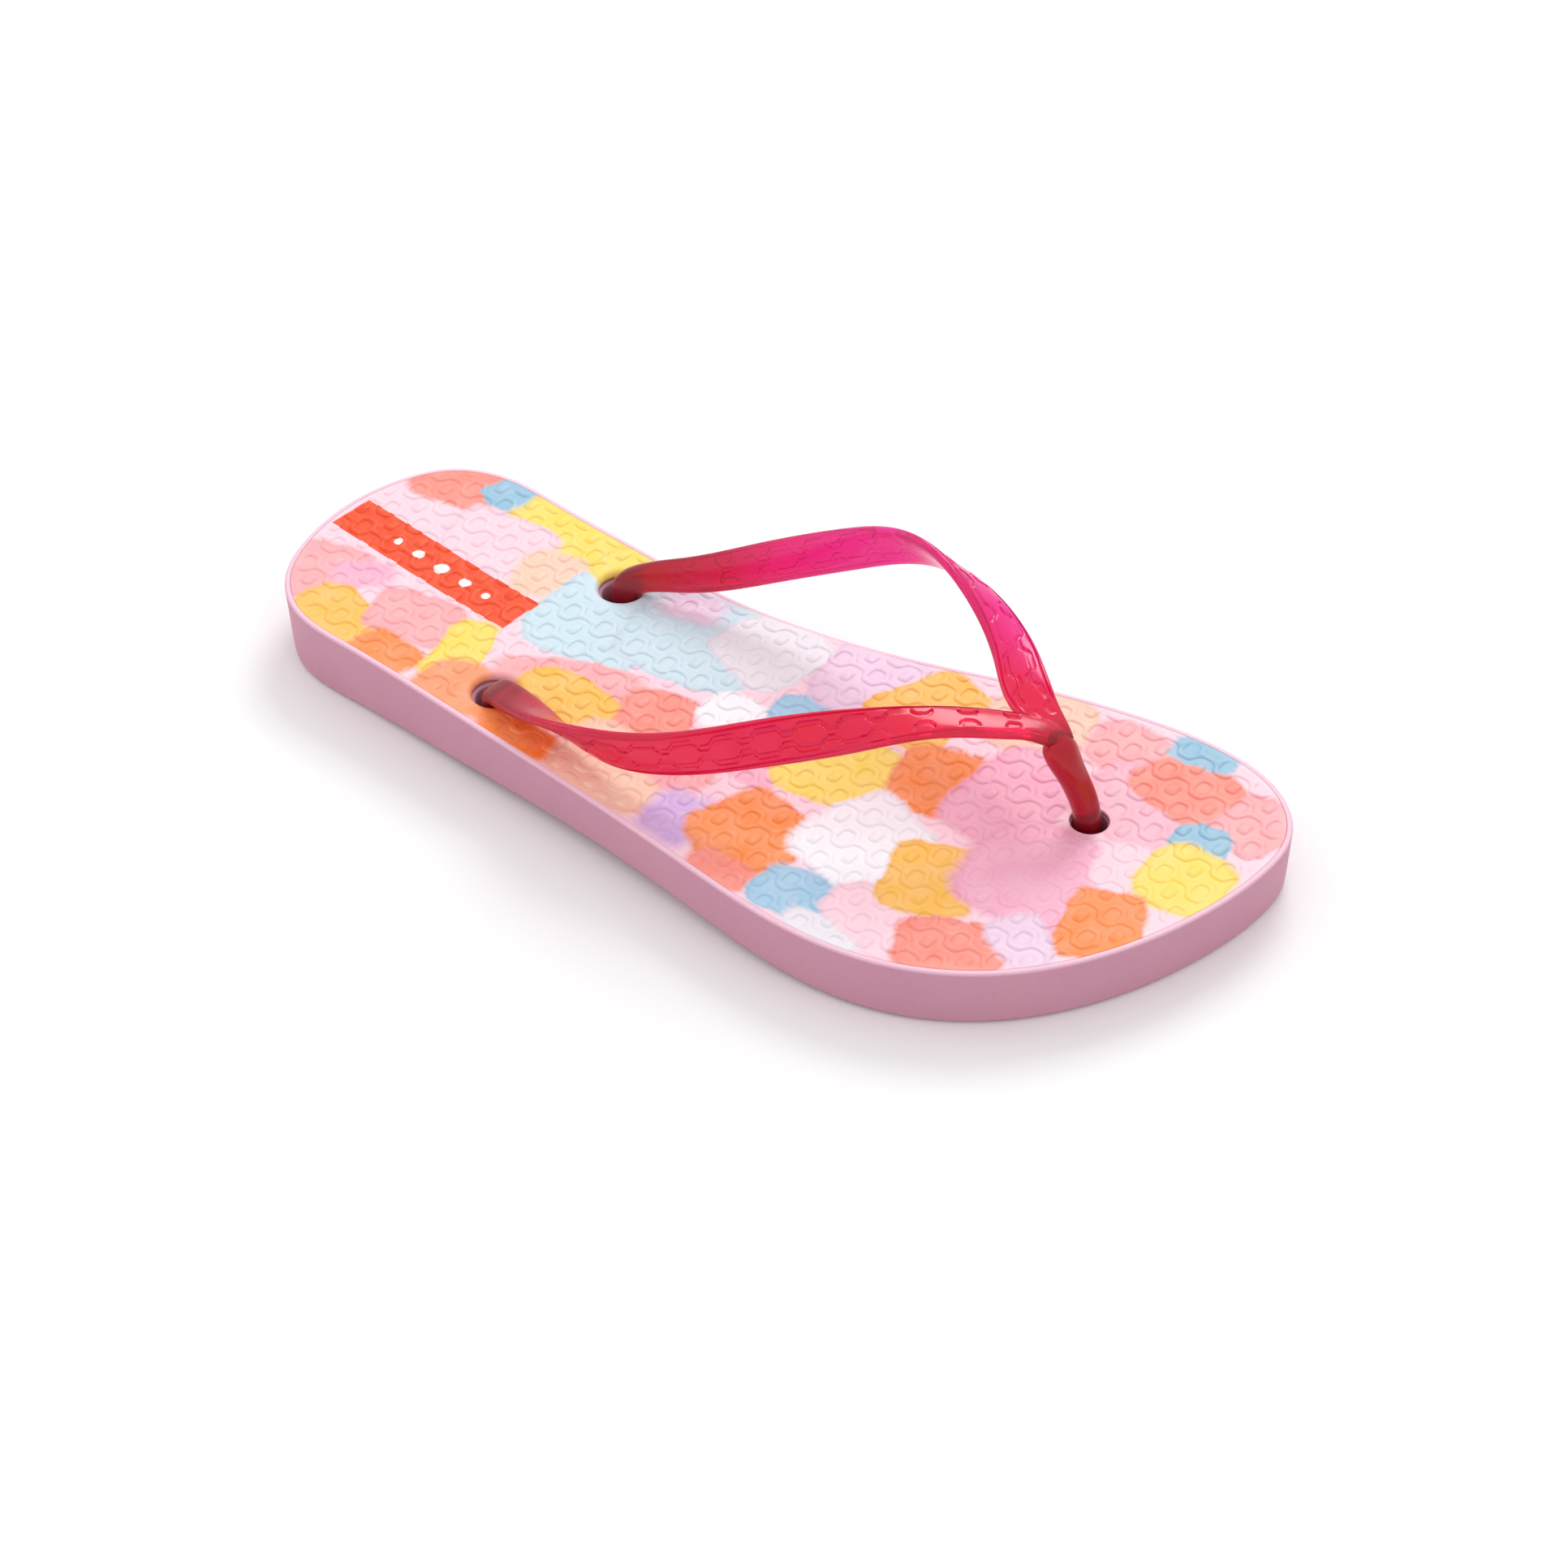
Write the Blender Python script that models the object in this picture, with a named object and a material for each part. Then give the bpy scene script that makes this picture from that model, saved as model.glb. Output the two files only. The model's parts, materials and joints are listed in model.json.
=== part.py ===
"""A right-foot flip-flop: a moulded foam sole, a thin printed footbed film let into its top, and a one-piece
Y-shaped strap whose three plugs sit in wells under the sole.

Frame: metres, toe towards +X, inner (big-toe) side towards +Y, ground plane at z = 0, origin under the middle
of the bounding box. Lengths below are written in millimetres and turned into metres when a mesh is made.
"""

import math

import bmesh
import bpy
import numpy as np
from mathutils import Vector

MM = 0.001

# Sole outline at the top edge, seen from above, from the back of the heel round the inner side.
OUTLINE = (
    (-123.6, -10), (-121.6, 2.5), (-115, 15.3), (-103.4, 21.9), (-85, 22.8), (-55, 22.5), (-28, 22.8),
    (-4, 27), (20, 34.5), (45, 44.5), (70, 52.2), (93, 55.5), (110.4, 51.8), (121, 41.4), (123.6, 27),
    (121, 6), (113.1, -16.6), (99, -36.6), (79.5, -49.9), (55, -55.5), (25, -54.6), (-10, -52.4),
    (-50, -51), (-85, -50.3), (-104.3, -48.4), (-115.6, -39.8), (-121.6, -26.5),
)
OUTLINE_SAMPLES = 120
SPINE_END_INSET = 34.0
SPINE_HEEL_Y, SPINE_TOE_Y = -14.0, 12.0
UNDERSIDE_SHARES = (0.85, 0.4)
FOOTBED_SHARES = (0.0, 0.2, 0.45, 0.7, 0.92)

# Sole heights and edges: the top slopes evenly down to the toe, and the underside stands on the heel and the ball.
HEEL_HEIGHT = 18.6
TOE_HEIGHT = 15.0
WAIST_LIFT = 3.4
HEEL_REST_X = -105.0
WAIST_X = 0.0
BALL_REST_X = 90.0
HEEL_DRAFT = 1.0
TOE_DRAFT = 0.8
DRAFT_END_X = -30.0
TOP_EDGE_RADIUS = 0.7
BOTTOM_EDGE_RADIUS = 1.4
RIM_WIDTH = 1.3
ARCH_SWELL = (5.0, 14.0, 1.2, 26.0, 14.0)
HEEL_CUP = (-80.0, -14.0, -0.7, 26.0, 20.0)

# Footbed film and the pocket that it lies in.
FILM_THICKNESS = 0.9
FIT_GAP = 0.3

# Strap holes: x, y.
OUTER_ANCHOR = (-47.6, -38.6)
INNER_ANCHOR = (-51.6, 9.0)
TOE_ANCHOR = (83.8, 15.9)
SIDE_HOLE_RADIUS = 4.8
SIDE_RIM_RADIUS = 6.8
SIDE_RIM_DEPTH = 1.8
SIDE_RIM_BEVEL = 0.6
TOE_HOLE_RADIUS = 4.2
SIDE_WELL_RADIUS = 9.0
TOE_WELL_RADIUS = 8.2
WELL_DEPTH = 6.4
CUTTER_BOTTOM, CUTTER_TOP = -2.0, HEEL_HEIGHT + 4.0

# Plug discs under the sole.
SIDE_PLUG_RADIUS = 7.8
TOE_PLUG_RADIUS = 7.0
PLUG_THICKNESS = 3.2
PLUG_CONE = 1.0
PLUG_EDGE_RADIUS = 0.8
PLUG_TOP_BEVEL = 0.6
PLUG_TOP_RISE = 0.8
STEM_RADIUS = 3.0

# Toe post: x, y, height above the footbed and radius.
POST_STATIONS = (
    (83.6, 15.9, -11.8, 3.1),
    (83.4, 15.9, -3.0, 3.1),
    (82.9, 15.6, 3.0, 3.2),
    (81.5, 14.5, 9.0, 3.3),
    (79.4, 13.0, 15.0, 3.6),
    (76.4, 11.6, 21.6, 4.4),
)

POST_SAMPLES = 14

# Strap arms from the plug upward: x, y, height above the footbed, outward facing, width and thickness.
OUTER_ARM = (
    ((-47.6, -38.8, -11.5), (1.0, 0.0, 0.0), 6.6, 4.8),
    ((-47.6, -38.9, -4.0), (1.0, 0.0, 0.0), 6.8, 4.8),
    ((-45.9, -39.7, 0.8), (0.8, 0.0, -0.6), 7.4, 4.4),
    ((-41.0, -41.0, 3.0), (0.3, 0.0, -0.95), 8.2, 3.6),
    ((-33.0, -42.6, 4.6), (0.15, -0.25, -0.96), 9.0, 3.0),
    ((-21.0, -44.0, 6.2), (0.0, -0.75, -0.66), 10.4, 2.8),
    ((-6.5, -43.4, 8.4), (0.25, -0.95, -0.15), 10.8, 2.8),
    ((11.5, -37.5, 13.5), (0.3, -0.93, 0.18), 10.8, 2.8),
    ((28.5, -28.5, 20.5), (0.22, -0.79, 0.57), 10.8, 2.8),
    ((43.5, -18.2, 25.5), (0.16, -0.41, 0.9), 10.6, 2.8),
    ((56.5, -5.0, 26.8), (0.1, 0.0, 1.0), 9.4, 2.9),
    ((68.0, 6.6, 24.8), (0.15, 0.2, 1.0), 8.6, 3.2),
    ((76.5, 11.6, 22.0), (0.3, 0.1, 1.0), 7.0, 3.6),
)
INNER_ARM = (
    ((-51.4, 8.9, -11.5), (0.0, 1.0, 0.0), 6.6, 4.8),
    ((-51.2, 8.9, -4.0), (-0.1, 1.0, 0.0), 6.6, 4.8),
    ((-49.8, 9.1, 1.2), (-0.3, 0.9, -0.1), 6.6, 4.4),
    ((-45.2, 10.9, 4.6), (-0.4, 0.9, -0.25), 7.2, 3.6),
    ((-35.5, 15.5, 7.6), (-0.35, 0.9, -0.3), 8.8, 3.0),
    ((-18.2, 24.0, 15.0), (-0.26, 0.92, -0.28), 10.2, 2.8),
    ((1.0, 30.6, 25.0), (-0.15, 0.98, -0.12), 10.4, 2.8),
    ((20.5, 33.5, 33.0), (0.0, 0.9, 0.4), 10.4, 2.8),
    ((38.4, 31.2, 32.0), (0.35, 0.42, 0.83), 10.0, 2.8),
    ((55.5, 24.0, 26.6), (0.2, -0.15, 0.96), 10.4, 2.9),
    ((68.0, 16.2, 23.6), (0.1, -0.25, 0.95), 9.6, 3.2),
    ((76.5, 11.8, 22.0), (0.2, -0.1, 1.0), 7.0, 3.6),
)
ARM_STATIONS = 44
ARM_SECTION_POINTS = 16
ARM_SQUARENESS = 3.0
ROUND_SEGMENTS = 28

# Tread: grooves across the underside, each by x, y of its middle and its length.
GROOVES = (
    (100, 12, 58), (66, 2, 74), (54, -4, 78), (42, -6, 74), (30, -8, 66), (18, -12, 58), (4, -14, 50),
    (-12, -15, 46), (-28, -15, 44), (-70, -14, 46), (-84, -14, 46), (-98, -14, 42),
)
GROOVE_WIDTH = 2.4
GROOVE_DEPTH = 1.2
GROOVE_END_SEGMENTS = 6


def clear_scene():
    for obj in list(bpy.data.objects):
        bpy.data.objects.remove(obj, do_unlink=True)


def spline(points, samples, closed):
    """Points at equal steps of length along the cubic spline through the given points."""
    knots = np.asarray(points, float)
    if closed:
        knots = np.vstack([knots, knots[:1]])
    steps = np.linalg.norm(np.diff(knots[:, :3], axis=0), axis=1)
    at = np.concatenate([[0.0], np.cumsum(steps)])
    count = len(knots)
    matrix = np.zeros((count, count))
    right = np.zeros_like(knots)
    for i in range(1, count - 1):
        matrix[i, i - 1 : i + 2] = steps[i - 1], 2 * (steps[i - 1] + steps[i]), steps[i]
        right[i] = 6 * ((knots[i + 1] - knots[i]) / steps[i] - (knots[i] - knots[i - 1]) / steps[i - 1])
    if closed:
        matrix[0, [0, 1, -2, -1]] = 2 * steps[0], steps[0], steps[-1], 2 * steps[-1]
        right[0] = 6 * ((knots[1] - knots[0]) / steps[0] - (knots[-1] - knots[-2]) / steps[-1])
        matrix[-1, [0, -1]] = 1, -1
    else:
        matrix[0, 0] = matrix[-1, -1] = 1
    bend = np.linalg.solve(matrix, right)
    where = np.linspace(0, at[-1], samples, endpoint=not closed)
    piece = np.clip(np.searchsorted(at, where, side="right") - 1, 0, count - 2)
    step = steps[piece][:, None]
    ahead = (where - at[piece])[:, None]
    behind = step - ahead
    return (
        (bend[piece] * behind**3 + bend[piece + 1] * ahead**3) / (6 * step)
        + (knots[piece] / step - bend[piece] * step / 6) * behind
        + (knots[piece + 1] / step - bend[piece + 1] * step / 6) * ahead
    )


def ease(value, start, end):
    """0 before start, 1 after end, with a smooth rise between."""
    share = np.clip((np.asarray(value, float) - start) / (end - start), 0, 1)
    return share * share * (3 - 2 * share)


def mound(x, y, shape):
    middle_x, middle_y, height, spread_x, spread_y = shape
    return height * np.exp(-(((x - middle_x) / spread_x) ** 2) - ((y - middle_y) / spread_y) ** 2)


def edge_height(x):
    """Height of the sole's top edge above the ground."""
    heel_x, toe_x = OUTLINE[0][0], OUTLINE[14][0]
    return HEEL_HEIGHT + (TOE_HEIGHT - HEEL_HEIGHT) * (x - heel_x) / (toe_x - heel_x)


def underside_height(x):
    """How far the underside is clear of the ground: it arches up under the waist."""
    return WAIST_LIFT * ease(x, HEEL_REST_X, WAIST_X) * (1 - ease(x, WAIST_X, BALL_REST_X))


def footbed_height(x, y):
    """Height of the printed surface above the ground."""
    return edge_height(x) + mound(x, y, ARCH_SWELL) + mound(x, y, HEEL_CUP)


def draft(x):
    """How far the bottom edge lies inside the top edge."""
    return HEEL_DRAFT + (TOE_DRAFT - HEEL_DRAFT) * ease(x, OUTLINE[0][0], DRAFT_END_X)


class Outline:
    """The sampled outline, its inward normals and the middle line that flat faces close onto."""

    def __init__(self):
        self.points = spline(OUTLINE, OUTLINE_SAMPLES, closed=True)
        along = np.roll(self.points, -1, axis=0) - np.roll(self.points, 1, axis=0)
        along /= np.linalg.norm(along, axis=1)[:, None]
        self.inward = np.column_stack([along[:, 1], -along[:, 0]])
        low, high = self.points[:, 0].min(), self.points[:, 0].max()
        spine_x = np.clip(self.points[:, 0], low + SPINE_END_INSET, high - SPINE_END_INSET)
        self.spine = np.column_stack([spine_x, self.middle(spine_x)])

    def middle(self, x):
        return SPINE_HEEL_Y + (SPINE_TOE_Y - SPINE_HEEL_Y) * ease(x, OUTLINE[0][0], OUTLINE[14][0])

    def inset(self, distance):
        return self.points + self.inward * np.broadcast_to(distance, len(self.points))[:, None]

    def towards_spine(self, distance, share):
        ring = self.inset(distance)
        return ring + (self.spine - ring) * share


def ring_at(plan, heights):
    return np.column_stack([plan, np.broadcast_to(heights, len(plan))])


def close_across(mesh, ring):
    """Fills a ring with faces that each join a pair of neighbours on one side to the pair opposite."""
    count = len(ring)
    for i in range((count + 1) // 2):
        corners = (ring[i], ring[i + 1], ring[count - i - 1], ring[(count - i) % count])
        unique = list(dict.fromkeys(corners))
        if len(unique) > 2:
            mesh.faces.new(unique)


def add_rings(mesh, rings):
    """Joins rings of equal count into one closed skin."""
    made = [[mesh.verts.new(Vector(point) * MM) for point in ring] for ring in rings]
    for lower, upper in zip(made, made[1:]):
        for i in range(len(lower)):
            following = (i + 1) % len(lower)
            mesh.faces.new((lower[i], lower[following], upper[following], upper[i]))
    close_across(mesh, made[0])
    close_across(mesh, made[-1])


def object_of(name, mesh, material, smooth=True):
    bmesh.ops.recalc_face_normals(mesh, faces=mesh.faces)
    data = bpy.data.meshes.new(name)
    mesh.to_mesh(data)
    mesh.free()
    for polygon in data.polygons:
        polygon.use_smooth = smooth
    obj = bpy.data.objects.new(name, data)
    bpy.context.scene.collection.objects.link(obj)
    if material:
        data.materials.append(material)
    return obj


def material(name, colour, roughness, transmission=0.0):
    made = bpy.data.materials.new(name)
    made.use_nodes = True
    shader = made.node_tree.nodes["Principled BSDF"]
    shader.inputs["Base Color"].default_value = (*colour, 1.0)
    shader.inputs["Roughness"].default_value = roughness
    shader.inputs["Transmission Weight"].default_value = transmission
    return made


def boolean(obj, other, operation):
    other.hide_render = True
    other.display_type = "WIRE"
    modifier = obj.modifiers.new(f"{operation.lower()} {other.name}", "BOOLEAN")
    modifier.operation = operation
    modifier.solver = "EXACT"
    modifier.object = other


def turned(name, profile, centre, segments=ROUND_SEGMENTS, material=None):
    """A solid of revolution about a vertical axis: the profile is (radius, height) from the bottom up."""
    mesh = bmesh.new()
    angles = np.linspace(0, math.tau, segments, endpoint=False)
    circle = np.column_stack([np.cos(angles), np.sin(angles)])
    add_rings(mesh, [ring_at(circle * radius + centre, height) for radius, height in profile])
    return object_of(name, mesh, material)


def arc(centre_inset, centre_height, radius, start, end, steps=3):
    """(inset, height) pairs round an edge, angles in degrees from the outward direction."""
    for angle in np.radians(np.linspace(start, end, steps)):
        yield centre_inset - radius * math.cos(angle), centre_height + radius * math.sin(angle)


def make_sole(outline):
    x = outline.points[:, 0]
    top, bottom, taper = edge_height(x), underside_height(x), draft(x)
    rings = []
    for share in UNDERSIDE_SHARES:
        plan = outline.towards_spine(taper + BOTTOM_EDGE_RADIUS, share)
        rings.append(ring_at(plan, underside_height(plan[:, 0])))
    for inset, height in arc(BOTTOM_EDGE_RADIUS, BOTTOM_EDGE_RADIUS, BOTTOM_EDGE_RADIUS, -90, 0, 4):
        rings.append(ring_at(outline.inset(taper + inset), bottom + height))
    rings.append(ring_at(outline.inset(taper * 0.4), (bottom + top) * 0.5))
    for inset, height in arc(TOP_EDGE_RADIUS, -TOP_EDGE_RADIUS, TOP_EDGE_RADIUS, 0, 90, 4):
        rings.append(ring_at(outline.inset(inset), top + height))
    rings.append(ring_at(outline.inset(RIM_WIDTH), top))
    for share in FOOTBED_SHARES:
        plan = outline.towards_spine(RIM_WIDTH, share)
        rings.append(ring_at(plan, footbed_height(*plan.T) - FILM_THICKNESS - FIT_GAP))
    mesh = bmesh.new()
    add_rings(mesh, rings)
    sole = object_of("sole", mesh, material("foam", (0.62, 0.36, 0.46), 0.62))

    for name, centre in (("outer", OUTER_ANCHOR), ("inner", INNER_ANCHOR)):
        ceiling = underside_height(centre[0]) + WELL_DEPTH
        ledge = footbed_height(*centre) - SIDE_RIM_DEPTH
        profile = (
            (SIDE_WELL_RADIUS, CUTTER_BOTTOM),
            (SIDE_WELL_RADIUS, ceiling),
            (SIDE_HOLE_RADIUS, ceiling + PLUG_CONE),
            (SIDE_HOLE_RADIUS, ledge - SIDE_RIM_BEVEL),
            (SIDE_RIM_RADIUS - SIDE_RIM_BEVEL, ledge),
            (SIDE_RIM_RADIUS, CUTTER_TOP),
        )
        boolean(sole, turned(f"{name} hole cutter", profile, centre), "DIFFERENCE")
    ceiling = underside_height(TOE_ANCHOR[0]) + WELL_DEPTH
    profile = (
        (TOE_WELL_RADIUS, CUTTER_BOTTOM),
        (TOE_WELL_RADIUS, ceiling),
        (TOE_HOLE_RADIUS, ceiling + PLUG_CONE),
        (TOE_HOLE_RADIUS, CUTTER_TOP),
    )
    boolean(sole, turned("toe hole cutter", profile, TOE_ANCHOR), "DIFFERENCE")
    boolean(sole, groove_cutter(), "DIFFERENCE")
    return sole


def groove_cutter():
    mesh = bmesh.new()
    half = GROOVE_WIDTH / 2
    turn = np.linspace(0, math.pi, GROOVE_END_SEGMENTS)
    cap = np.column_stack([half * np.cos(turn), half * np.sin(turn)])
    for x, y, length in GROOVES:
        reach = (0.0, length / 2 - half)
        plan = np.vstack([cap + reach, -cap - reach]) + (x, y)
        add_rings(mesh, [ring_at(plan, -1.0), ring_at(plan, underside_height(x) + GROOVE_DEPTH)])
    return object_of("groove cutter", mesh, None)


def make_film(outline):
    edge = RIM_WIDTH + FIT_GAP
    plans = [outline.towards_spine(edge, share) for share in reversed(FOOTBED_SHARES)]
    rings = [ring_at(plan, footbed_height(*plan.T) - FILM_THICKNESS) for plan in plans]
    rings += [ring_at(plan, footbed_height(*plan.T)) for plan in reversed(plans)]
    mesh = bmesh.new()
    add_rings(mesh, rings)
    film = object_of("footbed_print", mesh, material("print", (0.86, 0.5, 0.5), 0.5))
    holes = (
        ("outer", OUTER_ANCHOR, SIDE_RIM_RADIUS + FIT_GAP),
        ("inner", INNER_ANCHOR, SIDE_RIM_RADIUS + FIT_GAP),
        ("toe", TOE_ANCHOR, TOE_HOLE_RADIUS + FIT_GAP),
    )
    for name, centre, radius in holes:
        profile = ((radius, 0.0), (radius, CUTTER_TOP))
        boolean(film, turned(f"{name} film cutter", profile, centre), "DIFFERENCE")
    return film


def facing_frame(centres, facings):
    """Unit width and outward directions across the path at each centre."""
    along = np.gradient(centres, axis=0)
    along /= np.linalg.norm(along, axis=1)[:, None]
    outward = facings - along * (facings * along).sum(axis=1)[:, None]
    outward /= np.linalg.norm(outward, axis=1)[:, None]
    return np.cross(outward, along), outward


def make_arm(name, stations):
    packed = [(*centre, *facing, width, thickness) for centre, facing, width, thickness in stations]
    path = spline(packed, ARM_STATIONS, closed=False)
    centres = path[:, :3].copy()
    centres[:, 2] += footbed_height(centres[:, 0], centres[:, 1])
    across, outward = facing_frame(centres, path[:, 3:6])
    turn = np.linspace(0, math.tau, ARM_SECTION_POINTS, endpoint=False)
    cosine, sine = np.cos(turn), np.sin(turn)
    flat = np.sign(cosine) * np.abs(cosine) ** (2 / ARM_SQUARENESS)
    thick = np.sign(sine) * np.abs(sine) ** (2 / ARM_SQUARENESS)
    rings = []
    for centre, side, out, width, thickness in zip(centres, across, outward, path[:, 6], path[:, 7]):
        rings.append(centre + np.outer(flat * width / 2, side) + np.outer(thick * thickness / 2, out))
    mesh = bmesh.new()
    add_rings(mesh, rings)
    return object_of(name, mesh, None)


def make_post():
    path = spline(POST_STATIONS, POST_SAMPLES, closed=False)
    centres = path[:, :3].copy()
    centres[:, 2] += footbed_height(centres[:, 0], centres[:, 1])
    across, outward = facing_frame(centres, np.tile((1.0, 0.0, 0.0), (len(centres), 1)))
    turn = np.linspace(0, math.tau, ROUND_SEGMENTS, endpoint=False)
    rings = []
    for centre, side, out, radius in zip(centres, across, outward, path[:, 3]):
        rings.append(centre + radius * (np.outer(np.cos(turn), side) + np.outer(np.sin(turn), out)))
    mesh = bmesh.new()
    add_rings(mesh, rings)
    return object_of("toe post", mesh, None)


def plug(name, centre, radius, material=None):
    """A disc with a rounded lower edge and a conical top that centres it under its hole."""
    ceiling = underside_height(centre[0]) + WELL_DEPTH - FIT_GAP
    floor = ceiling - PLUG_THICKNESS
    profile = (
        (radius - PLUG_EDGE_RADIUS, floor),
        (radius - 0.3 * PLUG_EDGE_RADIUS, floor + 0.3 * PLUG_EDGE_RADIUS),
        (radius, floor + PLUG_EDGE_RADIUS),
        (radius, ceiling - PLUG_TOP_BEVEL),
        (radius - PLUG_TOP_BEVEL, ceiling),
        (STEM_RADIUS, ceiling + PLUG_TOP_RISE),
    )
    return turned(name, profile, centre, material=material)


def make_strap():
    strap = plug("y_strap", TOE_ANCHOR, TOE_PLUG_RADIUS, material("strap", (0.85, 0.03, 0.16), 0.3, 0.6))
    boolean(strap, make_post(), "UNION")
    boolean(strap, make_arm("outer arm", OUTER_ARM), "UNION")
    boolean(strap, make_arm("inner arm", INNER_ARM), "UNION")
    for name, centre in (("outer plug", OUTER_ANCHOR), ("inner plug", INNER_ANCHOR)):
        boolean(strap, plug(name, centre, SIDE_PLUG_RADIUS), "UNION")
    return strap


def main():
    clear_scene()
    outline = Outline()
    make_sole(outline)
    make_film(outline)
    make_strap()


main()
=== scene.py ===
"""A right-foot flip-flop with its final surfaces: foam sole, embossed printed footbed, translucent Y strap.

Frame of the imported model: toe towards +X, big-toe side towards +Y, up +Z. Lengths below are in millimetres
and turn into metres when a mesh, light or camera is made.
"""

import json
import math

import bmesh
import bpy
import numpy as np
from mathutils import Matrix, Vector
from mathutils.geometry import delaunay_2d_cdt

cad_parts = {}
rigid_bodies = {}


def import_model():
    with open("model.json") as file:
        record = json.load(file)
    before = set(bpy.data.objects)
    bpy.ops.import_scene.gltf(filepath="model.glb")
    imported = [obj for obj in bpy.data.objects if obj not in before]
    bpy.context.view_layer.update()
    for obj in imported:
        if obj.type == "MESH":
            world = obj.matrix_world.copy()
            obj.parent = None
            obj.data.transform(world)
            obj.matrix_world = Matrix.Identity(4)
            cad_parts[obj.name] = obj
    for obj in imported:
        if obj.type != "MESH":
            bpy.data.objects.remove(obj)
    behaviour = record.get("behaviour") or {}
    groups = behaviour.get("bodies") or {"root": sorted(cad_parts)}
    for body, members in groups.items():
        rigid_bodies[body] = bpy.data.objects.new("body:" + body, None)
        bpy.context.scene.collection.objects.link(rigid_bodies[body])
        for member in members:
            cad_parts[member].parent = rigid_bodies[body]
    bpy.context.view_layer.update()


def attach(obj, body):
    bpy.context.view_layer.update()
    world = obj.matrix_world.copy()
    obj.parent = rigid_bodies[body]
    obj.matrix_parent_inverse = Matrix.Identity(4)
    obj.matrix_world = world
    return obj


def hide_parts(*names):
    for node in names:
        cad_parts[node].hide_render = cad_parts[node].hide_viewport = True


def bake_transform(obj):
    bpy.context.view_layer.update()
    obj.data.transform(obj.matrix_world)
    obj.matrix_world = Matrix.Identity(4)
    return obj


MM = 0.001

# Sole outline at the top edge, from the back of the heel round the big-toe side.
OUTLINE = (
    (-123.6, -10), (-121.6, 2.5), (-115, 15.3), (-103.4, 21.9), (-85, 22.8), (-55, 22.5), (-28, 22.8),
    (-4, 27), (20, 34.5), (45, 44.5), (70, 52.2), (93, 55.5), (110.4, 51.8), (121, 41.4), (123.6, 27),
    (121, 6), (113.1, -16.6), (99, -36.6), (79.5, -49.9), (55, -55.5), (25, -54.6), (-10, -52.4),
    (-50, -51), (-85, -50.3), (-104.3, -48.4), (-115.6, -39.8), (-121.6, -26.5),
)
OUTLINE_SAMPLES = 480
HEEL_X, TOE_X = -123.6, 123.6
# Flat faces close onto a middle line that starts this far inside each end and runs between these two y.
SPINE_END_INSET = 34.0
SPINE_HEEL_Y, SPINE_TOE_Y = -14.0, 12.0
HEEL_HEIGHT, TOE_HEIGHT = 18.6, 15.0
WAIST_LIFT = 3.4
HEEL_REST_X, WAIST_X, BALL_REST_X = -105.0, 0.0, 90.0
HEEL_DRAFT, TOE_DRAFT, DRAFT_END_X = 1.0, 0.8, -30.0
TOP_EDGE_RADIUS, BOTTOM_EDGE_RADIUS = 0.7, 1.4
RIM_WIDTH = 1.3
# Mounds of the footbed: x, y of the middle, height, spread along x and along y.
ARCH_SWELL = (5.0, 14.0, 1.2, 26.0, 14.0)
HEEL_CUP = (-80.0, -14.0, -0.7, 26.0, 20.0)
FILM_THICKNESS = 0.9
FILM_SINK = 0.02
POCKET_DEPTH = 1.2
EDGE_FALL = (HEEL_HEIGHT - TOE_HEIGHT) / (TOE_X - HEEL_X)
RIM_LEVEL = (HEEL_HEIGHT + TOE_HEIGHT) / 2

# Strap holes and plug wells.
OUTER_ANCHOR = (-47.6, -38.6)
INNER_ANCHOR = (-51.6, 9.0)
TOE_ANCHOR = (83.8, 15.9)
SIDE_HOLE_RADIUS, TOE_HOLE_RADIUS = 4.8, 4.2
SIDE_WELL_RADIUS, TOE_WELL_RADIUS = 9.0, 8.2
SIDE_PLUG_RADIUS, TOE_PLUG_RADIUS = 7.8, 7.0
SIDE_RIM_RADIUS, SIDE_RIM_DEPTH = 6.8, 1.8
WELL_DEPTH = 6.4
WELL_FLARE, WELL_FLARE_HEIGHT, WELL_CONE = 1.5, 0.6, 1.0
HOLE_CORNER = 0.6
PLUG_GAP = 0.3
PLUG_THICKNESS = 3.2
ROUND_SEGMENTS = 64

# Tread grooves: x, y of the middle and length across.
GROOVES = (
    (100, 12, 58), (66, 2, 74), (54, -4, 78), (42, -6, 74), (30, -8, 66), (18, -12, 58), (4, -14, 50),
    (-12, -15, 46), (-28, -15, 44), (-70, -14, 46), (-84, -14, 46), (-98, -14, 42),
)
GROOVE_WIDTH, GROOVE_DEPTH = 2.4, 1.2
# Rings of the groove cutter, from below the sole up: how far they draw in and their height.
GROOVE_RINGS = ((-0.3, -1.0), (-0.3, -0.2), (0.0, 0.3), (0.1, 0.8), (0.4, 1.1), (0.8, GROOVE_DEPTH))
CUTTER_FLOOR = -1.0

# Footbed emboss: staggered rounded rectangles with wavy lines winding between their rows.
EMBOSS_ORIGIN = (41.2, -0.7)
EMBOSS_PITCH = (10.05, 9.33)
TILE_HALF = (1.45, 2.0)
TILE_CORNER = 1.0
# Half the space between two wave lines swings about its middle value, with flattened crests.
WAVE_MIDDLE, WAVE_SWING, WAVE_SQUARENESS = 2.33, 1.55, 2.2
WAVE_ROWS = range(-8, 9)
TILE_COLUMNS, TILE_ROWS = range(-34, 19), range(-14, 15)
EMBOSS_RELIEF = 0.3
STEP_OFFSETS = (-0.3, -0.12, 0.0, 0.12, 0.3)
LINE_DEPTH = 0.16
EMBOSS_EDGE_FADE = (0.6, 2.2)

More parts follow.
